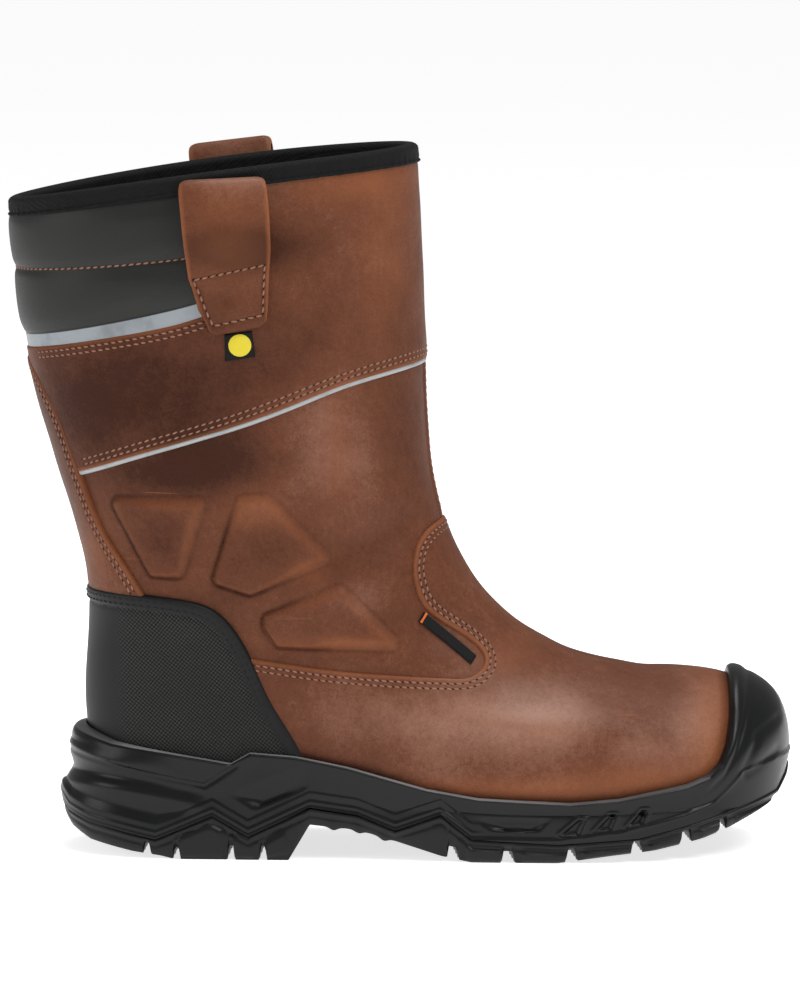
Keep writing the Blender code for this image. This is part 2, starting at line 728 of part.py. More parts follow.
def build_outsole():
    """Outsole below the joint line, with its underside cut into lugs."""
    top = flange_ring(JOINT, 0.0, GAP)
    bottom = flange_ring(GROUND, UNDERCUT, 0.0)
    middle = 0.5 * (top + bottom)
    middle[:, :2] = top[:, :2]
    outsole = filled_solid("outsole", [bottom, middle, top], "black_rubber")
    for i, groove in enumerate(GROOVES):
        half = groove.width / 2
        tip = groove.x + groove.sweep
        near, far = GROOVE_MIDDLE - GROOVE_REACH, GROOVE_MIDDLE + GROOVE_REACH
        outline = [(groove.x - half, near), (groove.x + half, near), (tip + half, GROOVE_MIDDLE),
                   (groove.x + half, far), (groove.x - half, far), (tip - half, GROOVE_MIDDLE)]
        height = float(heights(GROUND, groove.x)) + groove.depth
        cut(outsole, prism(f"groove_{i}", outline, BELOW_GROUND, height, "black_rubber", "Z"), "DIFFERENCE")
    for name, run in (("heel", HEEL_CHANNEL), ("fore", FORE_CHANNEL)):
        for y, side in CHANNEL_SIDES:
            half = CHANNEL_WIDTH / 2
            outline = [(run[0], y - half), (run[1], y - half), (run[1], y + half), (run[0], y + half)]
            channel = prism(f"channel_{name}_{side}", outline, BELOW_GROUND, CHANNEL_TOP, "black_rubber", "Z")
            cut(outsole, channel, "DIFFERENCE")


def overlay(name, outline, finish):
    """Piece cut from a wall over the upper by an outline in the side view, on both sides."""
    piece = shell_solid(name, GAP, OVERLAY, levels_in(*OVERLAY_LEVELS[name]), finish)
    cut(piece, side_cutter(f"{name}_outline", outline, finish), "INTERSECT")


def shifted(line, x, z):
    """Line moved in the side view."""
    return np.asarray(line) + np.array([x, z])


def thin(line, count):
    """A few points of a line, evenly picked, with both of its ends."""
    return line[np.linspace(0, len(line) - 1, count).round().astype(int)]


def height_on(line):
    """Height of a side-view line, as a function of the place along the boot."""
    x, z = np.transpose(line)
    return lambda place: np.interp(place, x, z)


def build_foot_overlays(counter):
    """Heel counter behind its edge and vamp before it, with the quarter's tongue left open."""
    vamp = smooth_line(VAMP_EDGE, EDGE_POINTS)
    counter_front = shifted(counter[counter[:, 1] < COUNTER_MEETS_VAMP], EDGE_GAP, 0.0)
    overlay("heel_counter", [*thin(counter, COUNTER_POINTS), (counter[0, 0], BELOW_UPPER)], "black_counter")
    overlay("vamp", [*thin(vamp, VAMP_POINTS), (END_REACH, vamp[-1, 1]), (END_REACH, BELOW_UPPER),
                     *thin(counter_front, COUNTER_FRONT_POINTS)[::-1]], "brown_leather")


def build_shaft_overlays(counter):
    """Back stay, shaft panel, and the reflective piping and band along the panel's edges."""
    band_low = smooth_line(BAND_LOW, EDGE_POINTS)
    below_band = shifted(band_low, 0.0, -GAP)
    stay = smooth_line(STAY_EDGE, EDGE_POINTS)
    stay = stay[stay[:, 1] > height_on(counter)(stay[:, 0]) + GAP]
    stay = stay[stay[:, 1] < height_on(below_band)(stay[:, 0])]
    below_stay = shifted(counter[counter[:, 0] < stay[-1, 0]], 0.0, GAP)
    above_stay = below_band[below_band[:, 0] < stay[0, 0]]
    overlay("back_stay", [*thin(stay, STAY_POINTS), *thin(below_stay, STAY_END_POINTS)[::-1],
                          (-END_REACH, below_stay[0, 1]), *thin(above_stay, STAY_END_POINTS)], "brown_leather")

    piping = smooth_line(PIPING_EDGE, EDGE_POINTS)
    stay_front = np.interp(piping[:, 1], stay[::-1, 1], stay[::-1, 0]) + EDGE_GAP
    panel_low = shifted(piping[piping[:, 0] > stay_front], 0.0, GAP)
    behind = shifted(stay[stay[:, 1] > panel_low[0, 1]], EDGE_GAP, 0.0)
    above = below_band[below_band[:, 0] > stay[0, 0] + EDGE_GAP]
    rear = loop_left(PANEL_REAR_TOP) - EDGE_GAP
    top = [(x, binding_low(x)) for x in (PANEL_FRONT, FRONT[-1, 0], rear)]
    loop_side = [(loop_left(z) - EDGE_GAP, z) for z in PANEL_REAR]
    overlay("shaft_panel", [*thin(panel_low, PANEL_LOW_POINTS), *top, *loop_side,
                            *thin(above, PANEL_SIDE_POINTS)[::-1], *thin(behind, PANEL_SIDE_POINTS)],
            "brown_leather")

    x, z, side, _, _ = wrapped_grid(
        FRONT, lambda z: np.interp(z, stay[::-1, 1], stay[::-1, 0]) + EDGE_GAP + PIPING_THICK,
        height_on(shifted(piping, 0.0, -PIPING_WIDTH)), height_on(piping), PIPING_COLUMNS, STRIP_ROWS)
    wall_patch("reflective_piping", x, z, side, PIPING_INSIDE, PIPING_THICK, "reflective_tape")
    x, z, side, _, _ = wrapped_grid(
        BACK, lambda z: loop_left(z) - PAD_CLEAR,
        height_on(band_low), height_on(shifted(PAD_LOW, 0.0, -GAP)), BAND_COLUMNS, STRIP_ROWS)
    wall_patch("reflective_band", x, z, side, STRIP_INSIDE, BAND_THICK, "reflective_tape")


def wrapped_grid(profile, end_at, low_at, high_at, columns, rows):
    """Side-view places on a strip wrapped round the boot's front or back, between a low and a high line.

    Gives x, z and side of the places, how far round each is, from -1 to 1, and how far up, from 0 to 1.
    """
    turn, up = np.meshgrid(np.linspace(-1, 1, 2 * columns + 1), np.linspace(0, 1, rows))
    reach = 1 - np.cos(np.abs(turn) * np.pi / 2)
    z = np.full_like(turn, profile[-1, 1])
    for _ in range(WRAP_PASSES):
        middle = np.interp(z, profile[:, 1], profile[:, 0])
        x = middle + (end_at(z) - middle) * reach
        z = low_at(x) + (high_at(x) - low_at(x)) * up
    first_side = 1.0 if profile is BACK else -1.0
    return x, z, np.where(turn <= 0, first_side, -first_side), turn, up


def wall_patch(name, corners_x, corners_z, side, inside, outside, finish):
    """Closed plate on a grid of side-view places, between two distances out from the upper."""
    rows, columns = corners_x.shape
    outer = out_from(corners_x, corners_z, side, np.broadcast_to(outside, corners_x.shape))
    inner = out_from(corners_x, corners_z, side, np.broadcast_to(inside, corners_x.shape))
    grid = np.arange(rows * columns).reshape(rows, columns)
    under = grid + rows * columns
    faces = []
    for row in range(rows - 1):
        for place in range(columns - 1):
            a, b = grid[row, place], grid[row, place + 1]
            d, c = grid[row + 1, place], grid[row + 1, place + 1]
            faces += [[a, b, c], [a, c, d]]
            e, f = under[row, place], under[row, place + 1]
            h, g = under[row + 1, place], under[row + 1, place + 1]
            faces += [[e, g, f], [e, h, g]]
    edge = [*grid[0, :-1], *grid[:-1, -1], *grid[-1, :0:-1], *grid[:0:-1, 0]]
    for near, far in zip(edge, edge[1:] + edge[:1]):
        low_near, low_far = near + rows * columns, far + rows * columns
        faces += [[near, low_near, low_far], [near, low_far, far]]
    return add_solid(name, np.concatenate([outer.reshape(-1, 3), inner.reshape(-1, 3)]), faces, finish)


def build_collar_pad():
    """Padded collar round the back, two sewn rolls between the reflective band and the binding."""
    x, z, side, turn, up = wrapped_grid(
        BACK, lambda z: loop_left(z) - PAD_CLEAR,
        height_on(PAD_LOW), lambda x: collar_height(x) - BINDING_TALL - PAD_CLEAR, PAD_COLUMNS, PAD_ROWS)
    roll = np.where(up < PAD_SEAM, up / PAD_SEAM, (up - PAD_SEAM) / (1 - PAD_SEAM))
    puff = PAD_EDGE + PAD_ROLL * np.sqrt(np.clip(1 - (2 * roll - 1) ** 2, 0, 1))
    puff *= np.clip((1 - np.abs(turn)) / PAD_END_RUN, PAD_END_LEAST, 1)
    wall_patch("collar_pad", x, z, side, STRIP_INSIDE, STRIP_INSIDE + puff, "black_padding")


def build_labels():
    """Two small sewn labels on the outer side, left plain: one over the shaft panel, one on the quarter."""
    for name, outline, below in (("size_tag", TAG, OVERLAY), ("side_flag", FLAG, 0.0)):
        inside = below + GAP
        levels = levels_in(*OVERLAY_LEVELS[name])
        label = shell_solid(name, inside, inside + LABEL_THICK, levels, "black_webbing")
        cut(label, prism(f"{name}_outline", outline, -SIDE_REACH, 0.0, "black_webbing", "Y"), "INTERSECT")


def build_binding():
    """Binding folded over the upper's top edge all round."""
    place, normal, up = frame_at(TURNS, np.ones(ROUND))
    stack = [place + normal * out + up * rise for out, rise in BINDING_SECTION]
    count = len(stack)
    faces = between(count)
    near = np.arange(ROUND)
    far = (near + 1) % ROUND
    last = (count - 1) * ROUND
    faces += np.stack([last + near, last + far, far], 1).tolist()
    faces += np.stack([last + near, far, near], 1).tolist()
    add_solid("collar_binding", np.array(stack), faces, "black_webbing")


def build_loops():
    """Pull loops on both sides: a strap folded over an eye, on a sewn foot, its top sloped as the collar is."""
    across = np.linspace(0, 1, LOOP_COLUMNS)
    for loop in LOOPS:
        rims = []
        for height_name, out_name in (("z", "out"), ("hole_z", "hole_out")):
            height = column(STRAP, height_name)
            left = loop_left(height)
            x = left[None, :] + (loop_right(height) - left)[None, :] * across[:, None]
            lifted = height > LOOP_LIFTED_ABOVE
            slope = np.where(lifted, loop.slope, LOOP_FOOT_SLOPE * (height < LOOP_LEVEL_FROM))
            z = height + loop.lift * lifted + slope * (x - LOOP_MIDDLE)
            out = np.broadcast_to(column(STRAP, out_name), x.shape)
            rims.append(out_from(x, z, np.full(x.shape, loop.side), out))
        count = len(STRAP)
        points = np.concatenate([rims[0].reshape(-1, 3), rims[1].reshape(-1, 3)])
        hole = LOOP_COLUMNS * count
        faces = []
        for i in range(count):
            j = (i + 1) % count
            for row in range(LOOP_COLUMNS - 1):
                a, b = row * count + i, row * count + j
                c, d = b + count, a + count
                faces += [[a, b, c], [a, c, d]]
                faces += [[hole + a, hole + c, hole + b], [hole + a, hole + d, hole + c]]
            last = (LOOP_COLUMNS - 1) * count
            faces += [[i, hole + i, hole + j], [i, hole + j, j]]
            faces += [[last + i, hole + last + j, hole + last + i], [last + i, last + j, hole + last + j]]
        if loop.side > 0:
            faces = [face[::-1] for face in faces]
        add_solid(loop.name, points, faces, "brown_leather")


def main():
    """Builds the boot from an empty scene."""
    for old in list(bpy.data.objects):
        bpy.data.objects.remove(old)
    build_upper()
    build_insole()
    build_midsole()
    build_outsole()
    counter = smooth_line(COUNTER_EDGE, EDGE_POINTS)
    build_foot_overlays(counter)
    build_shaft_overlays(counter)
    build_collar_pad()
    build_labels()
    build_binding()
    build_loops()


main()
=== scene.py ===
"""Looks of a pull-on safety boot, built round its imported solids.

Sizes are in millimetres on the boot's own axes: toe along +X, outer side towards -Y, floor at Z = 0.
A mesh is made in metres. The upper's face is a function of a turn round the boot and a level from
feather edge to collar.
"""
from __future__ import annotations

import logging
from dataclasses import dataclass, field
from enum import Enum
from typing import Callable, Sequence

import bpy
import numpy as np
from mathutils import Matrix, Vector

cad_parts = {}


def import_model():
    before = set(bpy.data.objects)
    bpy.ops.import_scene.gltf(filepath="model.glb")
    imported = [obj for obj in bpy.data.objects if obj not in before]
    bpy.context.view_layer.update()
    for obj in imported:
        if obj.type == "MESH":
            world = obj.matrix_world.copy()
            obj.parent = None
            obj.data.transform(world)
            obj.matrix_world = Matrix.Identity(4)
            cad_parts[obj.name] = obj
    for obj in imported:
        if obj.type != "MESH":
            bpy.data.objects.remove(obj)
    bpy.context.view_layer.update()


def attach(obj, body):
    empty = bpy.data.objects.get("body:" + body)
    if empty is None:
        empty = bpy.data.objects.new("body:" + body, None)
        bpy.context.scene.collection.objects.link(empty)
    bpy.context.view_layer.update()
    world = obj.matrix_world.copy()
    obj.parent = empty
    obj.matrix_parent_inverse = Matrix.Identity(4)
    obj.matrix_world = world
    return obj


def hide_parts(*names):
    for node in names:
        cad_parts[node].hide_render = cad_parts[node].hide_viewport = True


LOG = logging.getLogger("boot")
MM = 0.001
# Distance from a cut edge at which its wear no longer shows
FAR = 9.0
# Height of the underside of piping and pad over the upper's face
PLATE_LOW = 0.05
BODY = "root"
Array = np.ndarray
Colour = tuple[float, float, float]
Points = Sequence[tuple[float, float]]

# Outline of the upper from the side, x and z: up the toe and the front, and up the heel and the back
FRONT_PROFILE: Points = [
    (156.5, 27.0), (160.5, 43.0), (156.0, 58.5), (147.5, 67.2), (134.0, 72.4), (107.0, 75.4), (83.0, 79.2),
    (64.0, 86.2), (44.0, 99.3), (23.6, 125.4), (13.4, 160.0), (9.8, 210.0), (5.6, 297.5)]
BACK_PROFILE: Points = [
    (-127.5, 30.0), (-132.2, 62.0), (-130.6, 110.0), (-139.4, 152.0), (-154.4, 204.0), (-160.6, 245.0),
    (-163.4, 275.0)]

# Half widths, outer and inner: of the foot by x, of the shaft by z
FOOT_WIDTHS = np.array([
    (-132.0, 33.0, 33.0), (-100.0, 35.0, 34.5), (-35.0, 38.5, 35.5), (35.0, 47.5, 43.5), (75.0, 50.5, 47.0),
    (120.0, 48.5, 46.5), (162.0, 43.0, 42.0)])
SHAFT_WIDTHS = np.array([
    (90.0, 41.0, 40.0), (135.0, 44.0, 43.5), (180.0, 48.5, 48.5), (215.0, 51.0, 51.0), (300.0, 53.0, 53.0)])

# Level, depth of the front rounding, depth of the back rounding, sag of the loop
ROUNDINGS = np.array([
    (0.00, 62.0, 50.0, 8.0), (0.05, 66.0, 51.0, 9.0), (0.10, 80.0, 52.0, 10.0), (0.15, 76.0, 53.0, 11.2),
    (0.20, 65.0, 54.0, 12.0), (0.30, 62.0, 58.0, 10.0), (0.45, 84.0, 70.0, 4.0), (0.60, 98.0, 86.0, 0.0),
    (1.00, 108.0, 108.0, 0.0)])

# Sole: rim of the midsole, joint of midsole and outsole, and underside, as x and z
RIM = np.array([
    (-140.0, 57.0), (-130.0, 53.0), (-118.0, 48.9), (-96.0, 45.2), (-71.0, 41.0), (-63.0, 45.6),
    (-44.0, 44.2), (-21.0, 39.9), (11.5, 31.5), (33.0, 28.0), (71.6, 26.2), (92.0, 27.9), (120.0, 33.4),
    (128.0, 36.4), (133.0, 41.0), (136.0, 48.0), (137.9, 58.0), (138.6, 67.0), (139.2, 90.0)])
JOINT = np.array([
    (-145.0, 23.0), (-140.0, 17.5), (-131.0, 14.3), (-120.0, 12.2), (-103.0, 8.6), (-79.0, 18.9),
    (-64.0, 10.2), (-38.0, 22.5), (-18.0, 19.7), (-2.0, 13.4), (17.0, 20.1), (30.0, 10.1), (66.0, 8.2),
    (100.0, 10.5), (121.0, 15.5), (138.0, 20.3), (153.0, 24.4), (160.5, 26.4), (164.7, 32.0), (166.0, 35.5)])
GROUND = np.array([
    (-144.0, 15.5), (-139.0, 10.3), (-131.0, 6.4), (-113.0, 2.9), (-101.0, 1.4), (-95.0, 0.0), (-47.0, 0.0),
    (-38.0, 15.2), (-18.0, 13.2), (-2.0, 8.6), (17.0, 2.6), (30.0, 0.0), (66.0, 0.0), (89.0, 3.0),
    (107.0, 5.0), (128.0, 9.3), (139.5, 13.2), (148.0, 16.7), (157.0, 20.8), (164.0, 28.0)])

# Wall of the sole by x: how far flange, waist, shoulder, middle and lip stand out from the upper
WALLS = np.array([
    (-127.5, 16.2, 15.2, 12.3, 9.4, 4.6), (-112.0, 10.5, 9.8, 8.5, 7.2, 4.6),
    (-60.0, 8.0, 7.5, 6.7, 6.0, 4.4), (0.0, 7.0, 6.6, 6.1, 5.6, 4.4), (70.0, 8.0, 7.6, 6.8, 6.0, 4.4),
    (120.0, 8.5, 8.4, 7.3, 6.4, 4.6), (156.5, 9.4, 9.0, 5.6, 5.4, 4.6)])
FLANGE, WAIST, SHOULDER, MIDDLE, LIP = range(1, 6)

# Edges of the panels in the side view
COUNTER_EDGE: Points = [
    (-150.0, 112.0), (-117.0, 112.6), (-92.0, 110.6), (-78.0, 106.2), (-65.0, 90.4), (-54.6, 67.9),
    (-45.0, 51.9), (-36.0, 33.0), (-30.0, 15.0)]
VAMP_EDGE: Points = [
    (-72.0, 86.6), (-60.8, 85.0), (-28.5, 80.4), (19.7, 76.9), (31.1, 77.9), (35.5, 83.2), (28.6, 92.3),
    (11.3, 104.8), (6.3, 114.8), (5.9, 129.0), (12.5, 138.5), (22.0, 142.0), (45.0, 147.0)]
STAY_EDGE: Points = [
    (-160.5, 222.0), (-156.0, 211.0), (-145.2, 192.6), (-134.0, 163.0), (-123.2, 137.2), (-114.4, 123.9),
    (-105.5, 109.0), (-103.0, 104.0)]
PIPING_EDGE: Points = [
    (-146.0, 159.0), (-140.0, 161.0), (-107.3, 172.4), (-60.3, 187.1), (-25.0, 200.4), (11.4, 209.0),
    (30.0, 212.0)]
BAND_LOW: Points = [(-190.0, 208.2), (-135.0, 218.6), (-92.0, 227.5), (-83.5, 230.2), (-70.0, 234.4)]
PAD_LOW: Points = [(-190.0, 214.6), (-135.0, 224.5), (-92.0, 234.3), (-86.0, 236.0)]
LOOP_LEFT: Points = [(220.0, -78.0), (229.0, -81.2), (247.0, -87.4), (259.0, -88.4), (289.0, -90.8)]
LOOP_RIGHT: Points = [(224.0, -55.3), (259.0, -54.8), (289.0, -56.6)]
BINDING_TALL = 5.6

# Raised pads of the quarters
RAISED_PADS: list[Points] = [
    [(-120.2, 153.4), (-80.2, 154.4), (-91.0, 119.6), (-104.6, 120.2), (-120.4, 149.8)],
    [(-67.4, 155.0), (-54.6, 155.6), (-27.2, 127.0), (-62.8, 112.4), (-78.8, 117.8)],
    [(-57.5, 103.6), (-24.5, 117.2), (3.8, 88.6), (-51.7, 90.2), (-57.5, 99.0)]]

# Creases: side-view path, depth and half width of the trough; a ridge has a negative depth
CREASES: list[tuple[Points, float, float]] = [
    ([(-36.0, 125.0), (-18.0, 131.0), (-6.0, 136.0), (2.0, 139.0)], 1.6, 6.0),
    ([(-30.0, 143.0), (-18.0, 147.0), (-8.0, 150.0)], -0.9, 8.0),
    ([(-22.0, 118.0), (-8.0, 122.0), (2.0, 127.0)], -0.9, 6.0),
    ([(-24.0, 161.0), (-14.0, 163.0), (-7.0, 164.0)], 0.8, 7.0),
    ([(-80.0, 176.0), (-72.0, 166.0), (-70.0, 158.0)], 0.7, 8.0),
    ([(-42.0, 192.0), (-38.0, 172.0), (-42.0, 158.0)], -0.8, 11.0),
    ([(-17.0, 196.0), (-14.0, 180.0), (-17.0, 166.0)], 0.7, 9.0),
    ([(104.0, 77.0), (100.0, 66.0), (97.0, 56.0)], 0.8, 8.0),
    ([(70.0, 86.0), (62.0, 72.0), (58.0, 60.0)], 0.6, 9.0),
    ([(-110.0, 196.0), (-80.0, 204.0), (-50.0, 216.0)], 0.7, 14.0),
    ([(-40.0, 280.0), (-34.0, 250.0), (-36.0, 220.0)], -0.7, 16.0)]

# Cloudy places of the leather with painted shading among them, x, z, both radii and amount: tone darkens
# below 0, warmth adds orange
# The loop's dark hollow is painted shade, the light top of its fold a painted highlight, and the light places
# on vamp and toe are partly painted sheen.
TONES_AND_SHADING = np.array([
    (-128, 188, 26, 24, -0.85), (-92, 203, 34, 24, -0.85), (-50, 214, 26, 14, -0.4),
    (-38, 240, 40, 26, -0.05), (2, 228, 10, 34, -0.3), (-96, 164, 28, 10, -0.95), (-72, 172, 22, 12, -0.7),
    (-36, 178, 18, 24, 0.55), (-14, 160, 14, 22, 0.35), (2, 185, 10, 22, -0.45), (-101, 138, 11, 12, -0.5),
    (-57, 134, 13, 12, -0.35), (-76, 108, 16, 9, -0.3), (-8, 132, 26, 6, -0.1), (-16, 110, 12, 8, 0.5),
    (16, 90, 14, 8, 0.1), (24, 62, 26, 14, 0.9), (58, 60, 24, 12, 1.0), (97, 69, 16, 7, 0.1),
    (14, 44, 28, 9, 0.1), (104, 48, 16, 7, 0.6), (28, 118, 12, 14, 0.1), (-20, 60, 22, 12, 0.4),
    (-66, 259, 22, 9, -1.7), (-76, 268, 14, 12, -0.25), (-68, 290, 22, 9, 0.6), (-72, 236, 16, 8, -0.3),
    (128, 56, 14, 16, 0.75)])
WARMTHS = np.array([
    (132, 50, 9, 24, 0.75), (60, 31, 62, 5, 0.55), (104, 37, 30, 6, 0.5), (-18, 286, 26, 9, 0.55),
    (-6, 255, 12, 40, 0.3), (-26, 172, 8, 22, 0.35), (-60, 148, 12, 8, 0.3), (-40, 122, 10, 6, 0.3),
    (-30, 92, 30, 4, 0.3), (-72, 262, 18, 26, 0.35), (44, 84, 14, 8, 0.35), (-128, 126, 8, 14, 0.3)])


class Side(Enum):
    """Side of the boot that a piece is on."""

    OUTER = -1.0
    INNER = 1.0


def smoothstep(low: float, high: float, value: Array) -> Array:
    """Soft step from 0 at low to 1 at high."""
    share = np.clip((value - low) / (high - low), 0.0, 1.0)
    return share * share * (3 - 2 * share)


def bell(distance: Array, width: float) -> Array:
    """Bell curve of a distance, 1 in its middle."""
    return np.exp(-(distance / width) ** 2)


def unit(vectors: Array) -> Array:
    """Vectors of length 1 along the last axis."""
    return vectors / np.maximum(np.linalg.norm(vectors, axis=-1, keepdims=True), 1e-9)


def spline(knots: Array, values: Array, at: Array) -> Array:
    """Natural cubic curve, held level beyond its ends.

    Args:
        knots: Places of the known values.
        values: A value, or an array of values, at each knot.
        at: Places asked for.

    Returns:
        The curve's values, with the shape of the places and then that of one value.
    """
    knots = np.asarray(knots, float)
    values = np.asarray(values, float)
    flat = values.reshape(len(knots), -1)
    gaps = np.diff(knots)
    slopes = np.diff(flat, axis=0) / gaps[:, None]
    inner = np.arange(1, len(knots) - 1)
    system = np.eye(len(knots))
    system[inner, inner - 1] = gaps[:-1]
    system[inner, inner] = 2 * (gaps[:-1] + gaps[1:])
    system[inner, inner + 1] = gaps[1:]
    bends = np.zeros_like(flat)
    bends[1:-1] = 6 * np.diff(slopes, axis=0)
    bends = np.linalg.solve(system, bends)
    at = np.clip(np.asarray(at, float), knots[0], knots[-1])
    i = np.clip(np.searchsorted(knots, at, side="right") - 1, 0, len(gaps) - 1)
    before = ((knots[i + 1] - at) / gaps[i])[..., None]
    after = 1 - before
    bow = (before ** 3 - before) * bends[i] + (after ** 3 - after) * bends[i + 1]
    found = before * flat[i] + after * flat[i + 1] + bow * (gaps[i] ** 2)[..., None] / 6
    return found.reshape(at.shape + values.shape[1:])


def runs(line: Array) -> Array:
    """Lengths of the straight runs of a line of points."""
    return np.linalg.norm(np.diff(line, axis=0), axis=1)


def evenly(line: Array, count: int) -> Array:
    """Points spread evenly by length along a line of points."""
    length = np.concatenate([[0.0], np.cumsum(runs(line))])
    even = np.linspace(0, length[-1], count)
    return np.stack([np.interp(even, length, line[:, axis]) for axis in range(line.shape[1])], 1)


def smooth_line(points: Points, count: int = 400) -> Array:
    """Points spread evenly along a smooth curve through side-view points."""
    rows = np.array(points, float)
    reach = np.concatenate([[0.0], np.cumsum(runs(rows) ** 0.7)])
    return evenly(spline(reach, rows, np.linspace(0, reach[-1], 60 * len(rows))), count)


def heights(table: Array, x: Array) -> Array:
    """Height from a table of x and z, by straight runs."""
    table = np.asarray(table)
    return np.interp(x, table[:, 0], table[:, 1])


def path_distance(path: Points, x: Array, z: Array) -> Array:
    """Distance of side-view points from an open path of straight runs."""
    best = np.full(np.shape(x), np.inf)
    for (ax, az), (bx, bz) in zip(path[:-1], path[1:]):
        ex, ez = bx - ax, bz - az
        share = np.clip(((x - ax) * ex + (z - az) * ez) / (ex * ex + ez * ez), 0, 1)
        best = np.minimum(best, np.hypot(x - ax - share * ex, z - az - share * ez))
    return best


def outline_inside(outline: Points, x: Array, z: Array) -> Array:
    """Whether side-view points lie inside a closed outline, by counting crossings."""
    corners = np.asarray(outline, float)
    found = np.zeros(np.shape(x), bool)
    for (ax, az), (bx, bz) in zip(corners, np.roll(corners, -1, axis=0)):
        if az != bz:
            found ^= ((az > z) != (bz > z)) & (x < ax + (z - az) / (bz - az) * (bx - ax))
    return found


def outline_distance(outline: Points, x: Array, z: Array) -> Array:
    """Signed distance of side-view points to a closed outline, positive inside."""
    corners = [tuple(corner) for corner in outline]
    away = path_distance(corners + corners[:1], x, z)
    return np.where(outline_inside(outline, x, z), away, -away)


def inset(outline: Points, by: float) -> Array:
    """Outline with its corners moved inwards, each along the half of its angle."""
    corners = np.asarray(outline, float)
    along = unit(np.roll(corners, -1, axis=0) - corners)
    after = np.roll(corners, -1, axis=0)
    area = np.sum(corners[:, 0] * after[:, 1] - corners[:, 1] * after[:, 0])
    inward = np.stack([-along[:, 1], along[:, 0]], 1) * np.sign(area)
    before = np.roll(inward, 1, axis=0)
    return corners + by * (inward + before) / (1 + np.sum(inward * before, axis=1, keepdims=True))


def rounded_distance(outline: Points, radius: float, x: Array, z: Array) -> Array:
    """Signed distance to an outline with rounded corners, positive inside."""
    return outline_distance(inset(outline, radius), x, z) + radius


def loop_sides(z: Array) -> tuple[Array, Array]:
    """Rear and front edges of the pull loops at a height."""
    return np.interp(z, *zip(*LOOP_LEFT)), np.interp(z, *zip(*LOOP_RIGHT))


